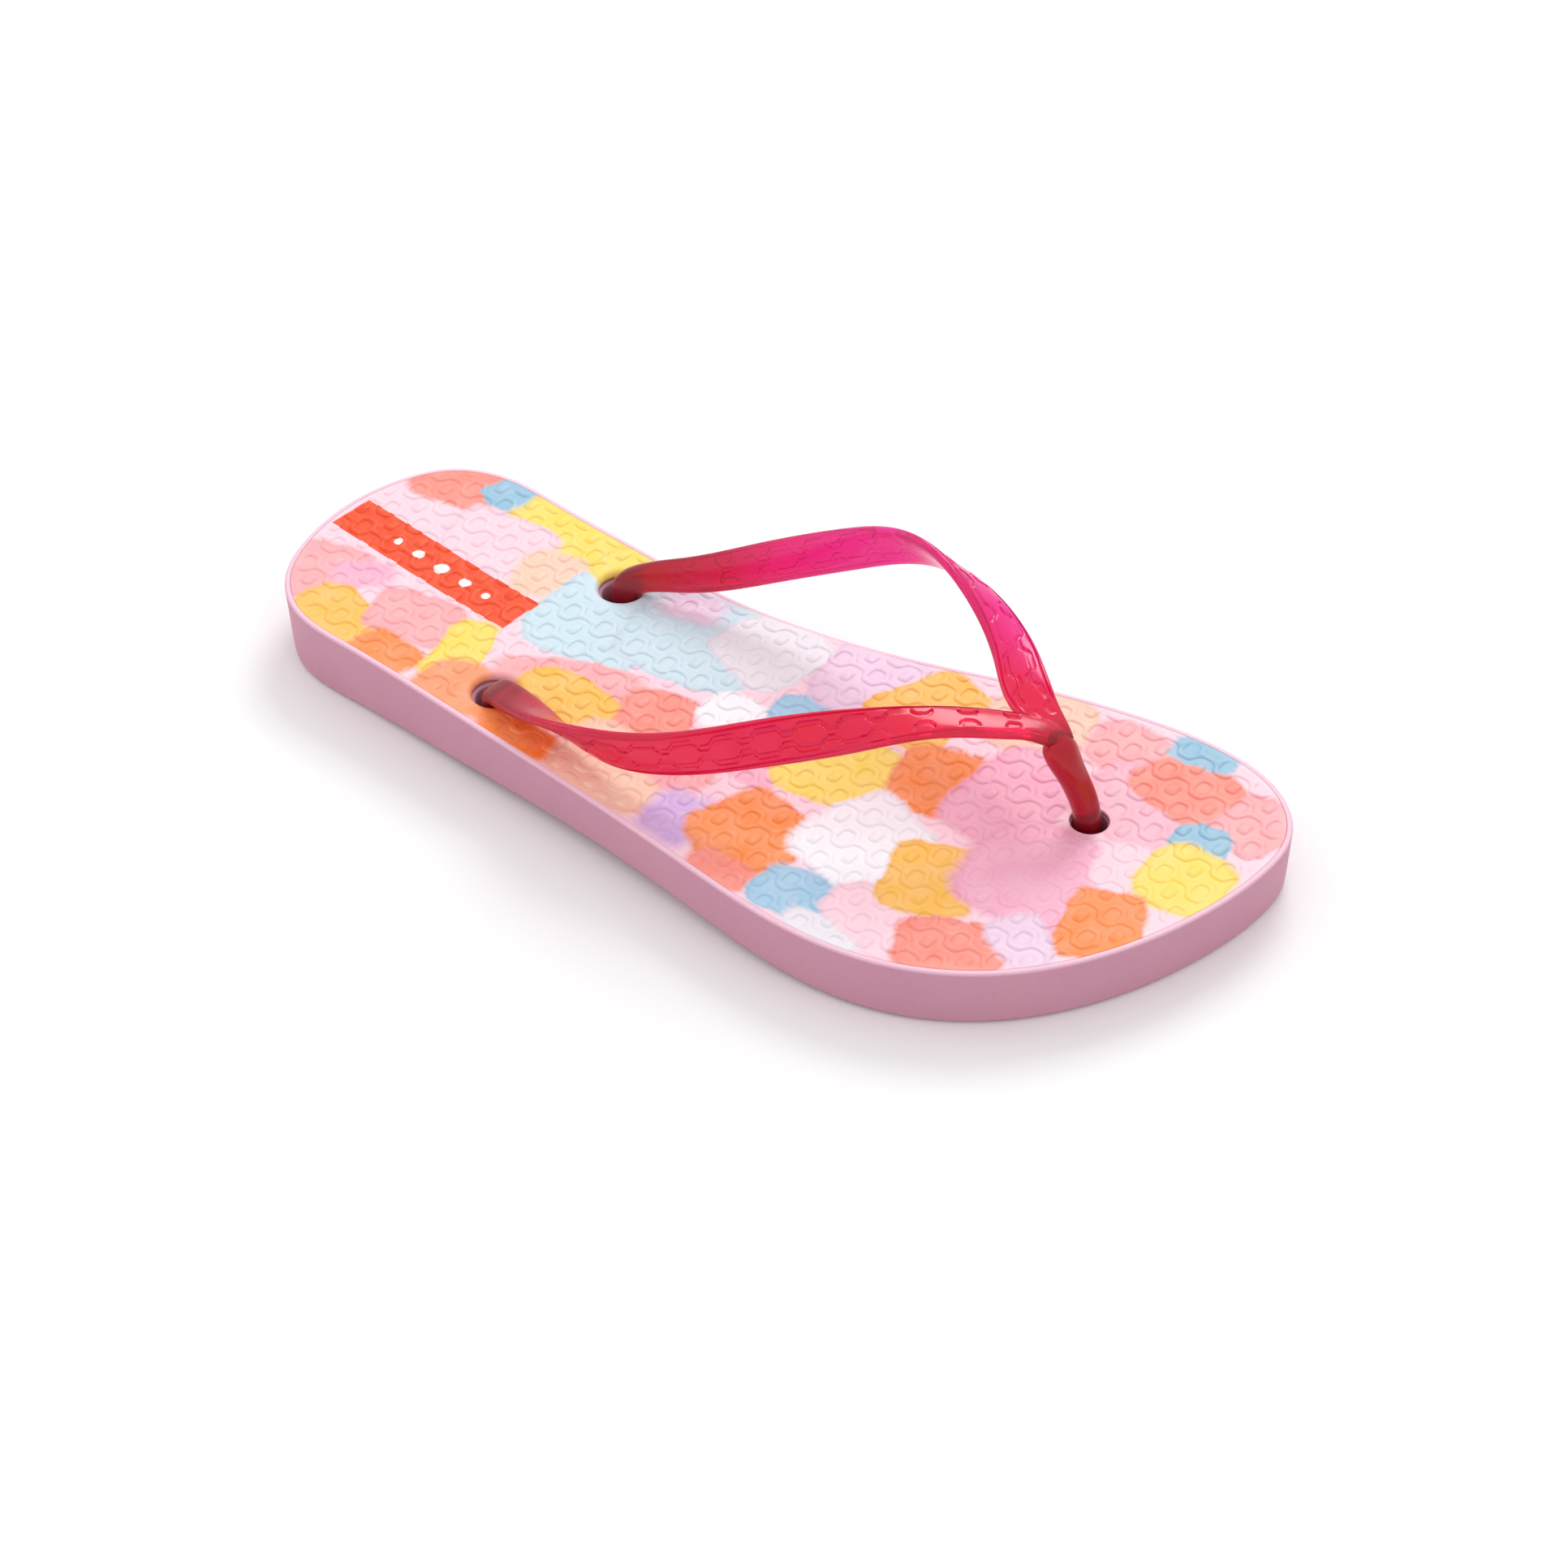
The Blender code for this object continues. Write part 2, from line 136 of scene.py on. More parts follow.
# Mesh of the footbed film: steps along the wave lines, fillers above and below, free room at edges and holes.
WAVE_STEP = 0.62
TOP_FILLER, UNDER_FILLER = 2.1, 9.0
EDGE_ROOM, HOLE_ROOM = 0.7, 0.4
UNDER_EDGE_ROOM, UNDER_HOLE_ROOM = 6.0, 3.0
HOLE_SEGMENTS = 56


def clean_scene():
    for obj in list(bpy.data.objects):
        bpy.data.objects.remove(obj, do_unlink=True)


# ---------------------------------------------------------------- shape helpers


def spline(points, samples, closed):
    """Points at equal steps of length along the cubic spline through the given points."""
    knots = np.asarray(points, float)
    if closed:
        knots = np.vstack([knots, knots[:1]])
    steps = np.linalg.norm(np.diff(knots[:, :3], axis=0), axis=1)
    at = np.concatenate([[0.0], np.cumsum(steps)])
    count = len(knots)
    matrix = np.zeros((count, count))
    right = np.zeros_like(knots)
    for i in range(1, count - 1):
        matrix[i, i - 1 : i + 2] = steps[i - 1], 2 * (steps[i - 1] + steps[i]), steps[i]
        right[i] = 6 * ((knots[i + 1] - knots[i]) / steps[i] - (knots[i] - knots[i - 1]) / steps[i - 1])
    if closed:
        matrix[0, [0, 1, -2, -1]] = 2 * steps[0], steps[0], steps[-1], 2 * steps[-1]
        right[0] = 6 * ((knots[1] - knots[0]) / steps[0] - (knots[-1] - knots[-2]) / steps[-1])
        matrix[-1, [0, -1]] = 1, -1
    else:
        matrix[0, 0] = matrix[-1, -1] = 1
    bend = np.linalg.solve(matrix, right)
    where = np.linspace(0, at[-1], samples, endpoint=not closed)
    piece = np.clip(np.searchsorted(at, where, side="right") - 1, 0, count - 2)
    step = steps[piece][:, None]
    ahead = (where - at[piece])[:, None]
    behind = step - ahead
    return (
        (bend[piece] * behind**3 + bend[piece + 1] * ahead**3) / (6 * step)
        + (knots[piece] / step - bend[piece] * step / 6) * behind
        + (knots[piece + 1] / step - bend[piece + 1] * step / 6) * ahead
    )


def ease(value, start, end):
    """0 before start, 1 after end, with a smooth rise between."""
    share = np.clip((np.asarray(value, float) - start) / (end - start), 0, 1)
    return share * share * (3 - 2 * share)


def mound(x, y, shape):
    middle_x, middle_y, height, spread_x, spread_y = shape
    return height * np.exp(-(((x - middle_x) / spread_x) ** 2) - ((y - middle_y) / spread_y) ** 2)


def edge_height(x):
    return HEEL_HEIGHT + (TOE_HEIGHT - HEEL_HEIGHT) * (x - HEEL_X) / (TOE_X - HEEL_X)


def underside_height(x):
    return WAIST_LIFT * ease(x, HEEL_REST_X, WAIST_X) * (1 - ease(x, WAIST_X, BALL_REST_X))


def footbed_height(x, y):
    return edge_height(x) + mound(x, y, ARCH_SWELL) + mound(x, y, HEEL_CUP)


def draft(x):
    return HEEL_DRAFT + (TOE_DRAFT - HEEL_DRAFT) * ease(x, HEEL_X, DRAFT_END_X)


class Outline:
    """The sampled outline, its inward normals and the middle line that flat faces close onto."""

    def __init__(self):
        self.points = spline(OUTLINE, OUTLINE_SAMPLES, closed=True)
        along = np.roll(self.points, -1, axis=0) - np.roll(self.points, 1, axis=0)
        along /= np.linalg.norm(along, axis=1)[:, None]
        self.inward = np.column_stack([along[:, 1], -along[:, 0]])
        spine_x = np.clip(self.points[:, 0], HEEL_X + SPINE_END_INSET, TOE_X - SPINE_END_INSET)
        spine_y = SPINE_HEEL_Y + (SPINE_TOE_Y - SPINE_HEEL_Y) * ease(spine_x, HEEL_X, TOE_X)
        self.spine = np.column_stack([spine_x, spine_y])

    def inset(self, distance):
        return self.points + self.inward * np.broadcast_to(distance, len(self.points))[:, None]

    def towards_spine(self, distance, share):
        ring = self.inset(distance)
        return ring + (self.spine - ring) * share


def ring_at(plan, heights):
    return np.column_stack([plan, np.broadcast_to(heights, len(plan))])


def across(count):
    """Faces that close a ring of count points, each joining two neighbours to the two opposite."""
    faces = []
    for i in range((count + 1) // 2):
        corners = list(dict.fromkeys((i, i + 1, count - i - 1, (count - i) % count)))
        if len(corners) > 2:
            faces.append(corners)
    return faces


def skin(rings, closing=True):
    """Points and outward faces through rings of equal count, listed from the bottom up or along a path."""
    count = len(rings[0])
    faces = []
    for level in range(len(rings) - 1):
        for i in range(count):
            following = (i + 1) % count
            low, high = level * count, (level + 1) * count
            faces.append([low + i, low + following, high + following, high + i])
    if closing:
        faces += [face[::-1] for face in across(count)]
        last = (len(rings) - 1) * count
        faces += [[last + i for i in face] for face in across(count)]
    return np.vstack(rings), faces


def mesh_object(name, points, faces, material=None):
    data = bpy.data.meshes.new(name)
    data.from_pydata((np.asarray(points) * MM).tolist(), [], faces)
    data.validate()
    face_outwards(data)
    data.shade_smooth()
    obj = bpy.data.objects.new(name, data)
    bpy.context.scene.collection.objects.link(obj)
    if material:
        data.materials.append(material)
    return obj


def face_outwards(data):
    """Turns a closed mesh whose volume comes out negative."""
    data.calc_loop_triangles()
    corners = np.empty(len(data.loop_triangles) * 3, int)
    data.loop_triangles.foreach_get("vertices", corners)
    places = np.empty(len(data.vertices) * 3)
    data.vertices.foreach_get("co", places)
    triangles = places.reshape(-1, 3)[corners.reshape(-1, 3)]
    if np.linalg.det(triangles).sum() < 0:
        data.flip_normals()


def turned(name, profile, centre, segments=ROUND_SEGMENTS):
    """A solid of revolution about a vertical axis: the profile is (radius, height) from the bottom up."""
    angles = np.linspace(0, math.tau, segments, endpoint=False)
    circle = np.column_stack([np.cos(angles), np.sin(angles)])
    return mesh_object(name, *skin([ring_at(circle * radius + centre, height) for radius, height in profile]))


def rounded(profile, radius, steps=5):
    """The (radius, height) profile with each inner corner turned into an arc of about the given radius."""
    points = np.asarray(profile, float)
    made = [points[0]]
    for before, corner, after in zip(points, points[1:], points[2:]):
        reach = min(radius, np.linalg.norm(before - corner) / 2, np.linalg.norm(after - corner) / 2)
        start = corner + (before - corner) / np.linalg.norm(before - corner) * reach
        end = corner + (after - corner) / np.linalg.norm(after - corner) * reach
        for t in np.linspace(0, 1, steps):
            made.append(start * (1 - t) ** 2 + corner * 2 * t * (1 - t) + end * t * t)
    made.append(points[-1])
    return made


def combine(obj, other, operation, solver="EXACT"):
    """Applies one Boolean and removes the other object."""
    modifier = obj.modifiers.new("combine", "BOOLEAN")
    modifier.operation = operation
    modifier.solver = solver
    modifier.object = other
    graph = bpy.context.evaluated_depsgraph_get()
    made = bpy.data.meshes.new_from_object(obj.evaluated_get(graph))
    obj.modifiers.clear()
    obj.data = made
    bpy.data.objects.remove(other)


def merge_close(obj, distance=0.004):
    """Removes the tiny edges and thin slivers that Booleans can leave."""
    mesh = bmesh.new()
    mesh.from_mesh(obj.data)
    bmesh.ops.remove_doubles(mesh, verts=mesh.verts, dist=distance * MM)
    bmesh.ops.triangulate(mesh, faces=mesh.faces)
    bmesh.ops.dissolve_degenerate(mesh, dist=distance * MM, edges=mesh.edges)
    bmesh.ops.triangulate(mesh, faces=mesh.faces)
    mesh.to_mesh(obj.data)
    mesh.free()


# ---------------------------------------------------------------- material helpers


def linear(colour):
    """A colour of 0 to 255 display values as linear RGBA."""
    share = np.asarray(colour, float) / 255
    value = np.where(share <= 0.04045, share / 12.92, ((share + 0.055) / 1.055) ** 2.4)
    return (*value.tolist(), 1.0)


def add_node(tree, kind, inputs=None, **settings):
    made = tree.nodes.new("ShaderNode" + kind)
    for key, value in settings.items():
        setattr(made, key, value)
    for key, value in (inputs or {}).items():
        if isinstance(value, bpy.types.NodeSocket):
            tree.links.new(value, made.inputs[key])
        else:
            made.inputs[key].default_value = value
    return made


def new_material(name):
    made = bpy.data.materials.new(name)
    made.use_nodes = True
    return made, made.node_tree, made.node_tree.nodes["Principled BSDF"]


def place_mm(tree, flat=False):
    """The rest place on the object in millimetres, with its height dropped if flat."""
    coordinate = add_node(tree, "TexCoord").outputs["Object"]
    scale = (1000, 1000, 0 if flat else 1000)
    return add_node(tree, "VectorMath", {0: coordinate, 1: scale}, operation="MULTIPLY").outputs[0]


def noise(tree, place, scale, detail=2.0, output="Fac"):
    return add_node(tree, "TexNoise", {"Vector": place, "Scale": scale, "Detail": detail}).outputs[output]


def mixed(tree, factor, first, second, blend="MIX"):
    made = add_node(tree, "Mix", {0: factor, 6: first, 7: second}, data_type="RGBA", blend_type=blend)
    return made.outputs[2]


def mapped(tree, value, low, high, to_low, to_high):
    inputs = {0: value, 1: low, 2: high, 3: to_low, 4: to_high}
    return add_node(tree, "MapRange", inputs).outputs[0]


def bumped(tree, shader, height, distance_mm, strength=1.0):
    made = add_node(tree, "Bump", {"Height": height, "Distance": distance_mm * MM, "Strength": strength})
    tree.links.new(made.outputs[0], shader.inputs["Normal"])


# ---------------------------------------------------------------- foam sole

# The third colour is a painted highlight along the lit top edge of the sole.
FOAM_PINK, FOAM_PALE_PINK, RIM_HIGHLIGHT_PINK = (198, 140, 162), (206, 148, 169), (250, 204, 222)


def foam_material():
    made, tree, shader = new_material("foam")
    place = place_mm(tree)
    cells = noise(tree, place, 2.6, 3.0)
    clouds = noise(tree, place, 0.05, 2.0)
    tint = mixed(tree, clouds, linear(FOAM_PINK), linear(FOAM_PALE_PINK))
    slope = {0: place, 1: (EDGE_FALL, 0, 1)}
    level = add_node(tree, "VectorMath", slope, operation="DOT_PRODUCT").outputs[1]
    # Painted highlight: a lighter pink band along the top edge of the side wall, where light catches the
    # rounded rim.
    on_lit_rim = mapped(tree, level, RIM_LEVEL - TOP_EDGE_RADIUS, RIM_LEVEL, 0.0, 1.0)
    tint = mixed(tree, on_lit_rim, tint, linear(RIM_HIGHLIGHT_PINK))
    speckle = mapped(tree, cells, 0.35, 0.7, 0.93, 1.03)
    shade = add_node(tree, "CombineXYZ", {0: speckle, 1: speckle, 2: speckle}).outputs[0]
    tree.links.new(mixed(tree, 1.0, tint, shade, "MULTIPLY"), shader.inputs["Base Color"])
    tree.links.new(mapped(tree, cells, 0.3, 0.7, 0.52, 0.68), shader.inputs["Roughness"])
    shader.inputs["Specular IOR Level"].default_value = 0.35
    shader.inputs["Subsurface Weight"].default_value = 0.15
    shader.inputs["Subsurface Radius"].default_value = (1.0, 0.45, 0.5)
    shader.inputs["Subsurface Scale"].default_value = 1.5 * MM
    pores = add_node(tree, "TexVoronoi", {"Vector": place, "Scale": 2.2}).outputs["Distance"]
    bumped(tree, shader, mixed(tree, 0.5, cells, pores), 0.05, 0.5)
    return made


def groove_cutter():
    """All tread grooves as one cutter, each with round ends and a rounded floor."""
    points, faces = [], []
    half = GROOVE_WIDTH / 2
    turn = np.linspace(0, math.pi, 12)
    for x, y, length in GROOVES:
        rings = []
        for shrink, height in GROOVE_RINGS:
            radius = half - shrink
            cap = np.column_stack([radius * np.cos(turn), radius * np.sin(turn)])
            reach = (0.0, length / 2 - half)
            plan = np.vstack([cap + reach, -cap - reach]) + (x, y)
            level = underside_height(x) + height if height > CUTTER_FLOOR else height
            rings.append(ring_at(plan, level))
        made, made_faces = skin(rings)
        start = sum(len(p) for p in points)
        points.append(made)
        faces += [[start + i for i in face] for face in made_faces]
    return mesh_object("groove cutter", np.vstack(points), faces)


def hole_cutter(centre, profile):
    return turned("hole cutter", rounded(profile, HOLE_CORNER), centre)


def well_profile(centre, well_radius, hole_radius):
    """The (radius, height) profile of a plug well and the start of its hole, from below the sole upward."""
    floor = underside_height(centre[0])
    return (
        (well_radius + WELL_FLARE, floor - WELL_FLARE), (well_radius, floor + WELL_FLARE_HEIGHT),
        (well_radius, floor + WELL_DEPTH), (hole_radius, floor + WELL_DEPTH + WELL_CONE),
    )


def build_sole(outline):
    """Rings from the middle of the underside, round the side and over the pocket of the film; then the cuts."""
    x = outline.points[:, 0]
    top, bottom, taper = edge_height(x), underside_height(x), draft(x)
    rings = []
    for share in (0.85, 0.62, 0.4, 0.2, 0.05):
        plan = outline.towards_spine(taper + BOTTOM_EDGE_RADIUS, share)
        rings.append(ring_at(plan, underside_height(plan[:, 0])))
    for angle in np.radians(np.linspace(-90, 0, 8)):
        inset = taper + BOTTOM_EDGE_RADIUS * (1 - math.cos(angle))
        rings.append(ring_at(outline.inset(inset), bottom + BOTTOM_EDGE_RADIUS * (1 + math.sin(angle))))
    for share in (0.25, 0.5, 0.75):
        rings.append(ring_at(outline.inset(taper * (1 - share)), bottom + (top - bottom) * share))
    for angle in np.radians(np.linspace(0, 90, 7)):
        inset = TOP_EDGE_RADIUS * (1 - math.cos(angle))
        rings.append(ring_at(outline.inset(inset), top - TOP_EDGE_RADIUS * (1 - math.sin(angle))))
    rings.append(ring_at(outline.inset(RIM_WIDTH - 0.05), top))
    rings.append(ring_at(outline.inset(RIM_WIDTH), top - 0.05))
    for share in (0.0, 0.2, 0.45, 0.7, 0.92):
        plan = outline.towards_spine(RIM_WIDTH, share)
        rings.append(ring_at(plan, footbed_height(*plan.T) - POCKET_DEPTH))
    sole = mesh_object("sole_foam", *skin(rings), foam_material())

    above = HEEL_HEIGHT + 4.0
    for centre in (OUTER_ANCHOR, INNER_ANCHOR):
        ledge = footbed_height(*centre) - SIDE_RIM_DEPTH
        rim = ((SIDE_HOLE_RADIUS, ledge - 0.6), (SIDE_RIM_RADIUS, ledge), (SIDE_RIM_RADIUS, above))
        profile = well_profile(centre, SIDE_WELL_RADIUS, SIDE_HOLE_RADIUS) + rim
        combine(sole, hole_cutter(centre, profile), "DIFFERENCE")
    profile = well_profile(TOE_ANCHOR, TOE_WELL_RADIUS, TOE_HOLE_RADIUS) + ((TOE_HOLE_RADIUS, above),)
    combine(sole, hole_cutter(TOE_ANCHOR, profile), "DIFFERENCE")
    combine(sole, groove_cutter(), "DIFFERENCE")
    merge_close(sole)
    sole.data.shade_smooth()
    sole.data.set_sharp_from_angle(angle=math.radians(40))
    return sole


# ---------------------------------------------------------------- embossed footbed film

# Hole lips of the film, from the flat surface inward: (radius, depth).
SIDE_LIP = (
    (7.6, 0.0), (7.2, 0.03), (6.8, 0.11), (6.4, 0.27), (6.0, 0.56), (5.7, 1.0), (5.5, 1.5), (5.6, 1.75),
    (5.95, 1.65), (6.3, 1.35), (6.7, 1.0), (7.6, 0.9),
)
TOE_LIP = ((4.8, 0.0), (4.62, 0.05), (4.52, 0.18), (4.47, 0.45), (4.47, 0.8), (4.8, 0.9))
# Outer edge of the film, from its top to its underside: (distance inside the outline, depth).
FILM_EDGE = ((1.6, 0.0), (1.46, 0.02), (1.38, 0.09), (1.36, 0.3), (1.36, 0.8), (1.6, 0.9))
FILM_LIPS = ((OUTER_ANCHOR, SIDE_LIP), (INNER_ANCHOR, SIDE_LIP), (TOE_ANCHOR, TOE_LIP))


def wave_half(x):
    """Half height of the space between two wave lines, about a row of even tiles."""
    phase = math.tau * (x - EMBOSS_ORIGIN[0]) / EMBOSS_PITCH[0]
    return WAVE_MIDDLE + WAVE_SWING * np.tanh(WAVE_SQUARENESS * np.cos(phase)) / math.tanh(WAVE_SQUARENESS)


def wave_slope(x):
    step = 0.01
    return (wave_half(x + step) - wave_half(x - step)) / (2 * step)


def folded(value, pitch):
    """Distance to the nearest multiple of the pitch."""
    return np.abs((value + pitch / 2) % pitch - pitch / 2)


def tile_distance(across_x, across_y):
    """Signed distance to a rounded rectangle about the origin, negative inside."""
    out_x = across_x - TILE_HALF[0] + TILE_CORNER
    out_y = across_y - TILE_HALF[1] + TILE_CORNER
    outside = np.hypot(np.maximum(out_x, 0), np.maximum(out_y, 0))
    return outside + np.minimum(np.maximum(out_x, out_y), 0) - TILE_CORNER


def step_up(distance):
    """-1 to 1 across the sloping step of the emboss."""
    return 2 * ease(distance, STEP_OFFSETS[0], STEP_OFFSETS[-1]) - 1


def emboss_height(x, y):
    off_x, off_y = x - EMBOSS_ORIGIN[0], y - EMBOSS_ORIGIN[1]
    pitch_x, pitch_y = EMBOSS_PITCH
    from_wave = (folded(off_y, pitch_y) - wave_half(x)) / np.sqrt(1 + wave_slope(x) ** 2)
    even = tile_distance(folded(off_x, pitch_x), folded(off_y, pitch_y))
    odd = tile_distance(folded(off_x + pitch_x / 2, pitch_x), folded(off_y + pitch_y / 2, pitch_y))
    from_tile = np.minimum(even, odd)
    nearest = np.minimum(np.abs(from_wave), np.abs(from_tile))
    line = LINE_DEPTH * (1 - ease(nearest, 0.0, STEP_OFFSETS[-1]))
    return EMBOSS_RELIEF / 2 * step_up(from_wave) * step_up(from_tile) - line


def emboss_strength(x, y, edge_distance):
    """The emboss fades at the film's edge and is worn flat beside the toe post."""
    worn = 0.65 * np.exp(-(((x - 86) / 12) ** 2) - (((y + 9) / 10) ** 2))
    toe = 0.35 * ease(x, 76, 96) * ease(-np.abs(y - 2), -26, -10)
    return ease(edge_distance, *EMBOSS_EDGE_FADE) * (1 - np.maximum(worn, toe))


def wave_points():
    """Points along every wave line, one row for each offset across the step."""
    x = np.arange(HEEL_X, TOE_X, WAVE_STEP)
    lean = wave_slope(x)
    length = np.sqrt(1 + lean**2)
    made = []
    for row in WAVE_ROWS:
        for side in (-1, 1):
            middle = EMBOSS_ORIGIN[1] + row * EMBOSS_PITCH[1]
            for offset in STEP_OFFSETS:
                plan_x = x - lean / length * offset
                plan_y = middle + side * (wave_half(x) + offset / length)
                made.append(np.column_stack([plan_x, plan_y]))
    return np.vstack(made)


def tile_points():
    """Points round every tile, one loop for each offset across the step."""
    made = []
    turn = np.radians(np.linspace(0, 90, 5))
    for offset in STEP_OFFSETS:
        radius = TILE_CORNER + offset
        corner_x = TILE_HALF[0] - TILE_CORNER + radius * np.cos(turn)
        corner_y = TILE_HALF[1] - TILE_CORNER + radius * np.sin(turn)
        quarter = np.column_stack([corner_x, corner_y])
        middle = [(TILE_HALF[0] + offset, 0.0), (TILE_HALF[0] + offset, 0.5)]
        quarter = np.vstack([middle, quarter])
        for sign_x, sign_y in ((1, 1), (1, -1), (-1, 1), (-1, -1)):
            made.append(quarter * (sign_x, sign_y))
    loop = np.unique(np.round(np.vstack(made), 4), axis=0)
    tiles = []
    for column in TILE_COLUMNS:
        for row in TILE_ROWS:
            if (column + row) % 2 == 0:
                centre = np.array(EMBOSS_ORIGIN) + (column * EMBOSS_PITCH[0] / 2, row * EMBOSS_PITCH[1] / 2)
                tiles.append(loop + centre)
    return np.vstack(tiles)


def filler_points(spacing):
    """A staggered grid that carries the footbed's own curve between the emboss lines."""
    x, y = np.meshgrid(np.arange(HEEL_X, TOE_X, spacing), np.arange(-60, 60, spacing))
    x = x + (np.arange(len(x)) % 2)[:, None] * spacing / 2
    return np.column_stack([x.ravel(), y.ravel()])


def inside(points, ring):
    """Which points lie inside a closed ring."""
    result = np.zeros(len(points), bool)
    for start, end in zip(ring, np.roll(ring, -1, axis=0)):
        crosses = (start[1] > points[:, 1]) != (end[1] > points[:, 1])
        if start[1] != end[1]:
            at = start[0] + (points[:, 1] - start[1]) * (end[0] - start[0]) / (end[1] - start[1])
            result ^= crosses & (points[:, 0] < at)
    return result


def distance_to(points, ring):
    """Distance from each point to the nearest of the ring's points."""
    nearest = np.full(len(points), np.inf)
    for corner in ring:
        nearest = np.minimum(nearest, np.hypot(points[:, 0] - corner[0], points[:, 1] - corner[1]))
    return nearest


def circle_ring(centre, radius, count):
    turn = np.linspace(0, math.tau, count, endpoint=False)
    return np.column_stack([np.cos(turn), np.sin(turn)]) * radius + centre


def sheet_between(rings, loose):
    """Triangles over the area inside the first ring and outside the others, using the loose points as well."""
    fixed = np.vstack(rings)
    edges = []
    start = 0
    for ring in rings:
        edges += [(start + i, start + (i + 1) % len(ring)) for i in range(len(ring))]
        start += len(ring)
    plan = np.vstack([fixed, loose])
    result = delaunay_2d_cdt([Vector(p) for p in plan.tolist()], edges, [], 0, 1e-4)
    source = [origin[0] if origin else -1 for origin in result[3]]
    triangles = np.array([[source[i] for i in face] for face in result[2]])
    unsure = (triangles < len(fixed)).all(axis=1)
    centres = plan[triangles[unsure]].mean(axis=1)
    keep = inside(centres, rings[0])
    for ring in rings[1:]:
        keep &= ~inside(centres, ring)
    kept = np.ones(len(triangles), bool)
    kept[unsure] = keep
    return plan, triangles[kept]


def film_top(rings):
    """Points and triangles of the embossed upper face."""
    loose = np.vstack([wave_points(), tile_points(), filler_points(TOP_FILLER)])
    loose = loose[inside(loose, rings[0])]
    to_edge = distance_to(loose, rings[0])
    clear = to_edge > EDGE_ROOM
    for centre, lip in FILM_LIPS:
        from_hole = np.hypot(*(loose - centre).T) - lip[0][0]
        clear &= from_hole > HOLE_ROOM
        to_edge = np.minimum(to_edge, from_hole)
    loose, to_edge = loose[clear], to_edge[clear]
    plan, triangles = sheet_between(rings, loose)
    relief = np.zeros(len(plan))
    relief[-len(loose) :] = emboss_height(*loose.T) * emboss_strength(*loose.T, to_edge)
    return ring_at(plan, footbed_height(*plan.T) + relief - FILM_SINK), triangles


def film_underside(rings, outline):
    """Points and triangles of the plain lower face, which looks down."""
    loose = filler_points(UNDER_FILLER)
    loose = loose[inside(loose, outline.inset(UNDER_EDGE_ROOM))]
    for centre, lip in FILM_LIPS:
        loose = loose[np.hypot(*(loose - centre).T) > lip[0][0] + UNDER_HOLE_ROOM]
    plan, triangles = sheet_between(rings, loose)
    return ring_at(plan, footbed_height(*plan.T) - FILM_THICKNESS), triangles[:, ::-1]


def film_walls(rings, outline):
    """The loops between the upper and lower face: round the edge, then round each hole."""
    edge = edge_height(outline.points[:, 0])
    walls = [[ring_at(outline.inset(inset), edge - depth) for inset, depth in FILM_EDGE[1:-1]]]
    for ring, (centre, lip) in zip(rings[1:], FILM_LIPS):
        wall = []
        for radius, depth in lip[1:-1]:
            loop = circle_ring(centre, radius, len(ring))
            wall.append(ring_at(loop, footbed_height(*loop.T) - depth))
        walls.append(wall)
    return walls


def build_film(outline):
    """The film as one closed body: embossed top, rolled hole lips, edge and plain underside."""
    holes = [circle_ring(centre, lip[0][0], HOLE_SEGMENTS) for centre, lip in FILM_LIPS]
    rings = [outline.inset(FILM_EDGE[0][0]), *holes]
    top, top_faces = film_top(rings)
    under, under_faces = film_underside(rings, outline)
    points = [top, under]
    faces = top_faces.tolist() + (under_faces + len(top)).tolist()
    count = len(top) + len(under)
    upper_at, lower_at = 0, len(top)
    for ring, wall in zip(rings, film_walls(rings, outline)):
        size = len(ring)
        levels = [upper_at + np.arange(size)]
        for loop in wall:
            points.append(loop)
            levels.append(count + np.arange(size))
            count += size
        levels.append(lower_at + np.arange(size))
        for above, below in zip(levels, levels[1:]):
            for i in range(size):
                following = (i + 1) % size
                faces.append([int(v) for v in (above[i], above[following], below[following], below[i])])
        upper_at += size
        lower_at += size
    return mesh_object("footbed_film", np.vstack(points), faces, print_material())


# ---------------------------------------------------------------- print

PALE_PINK, PINK, SALMON, CORAL = (254, 214, 226), (248, 182, 206), (252, 178, 182), (251, 152, 138)
PEACH, GOLD, YELLOW, ORANGE = (253, 208, 186), (253, 196, 100), (254, 222, 112), (251, 150, 92)
PALE_BLUE, SKY, STEEL = (206, 227, 237), (166, 204, 230), (150, 192, 216)
LILAC, VIOLET, GREY_WHITE, WHITE = (238, 208, 230), (214, 178, 226), (236, 230, 238), (248, 244, 250)
APRICOT, BRIGHT_ORANGE, TOE_PINK = (252, 160, 116), (255, 140, 70), (249, 188, 204)
WASH_WHITE = (255, 246, 244)
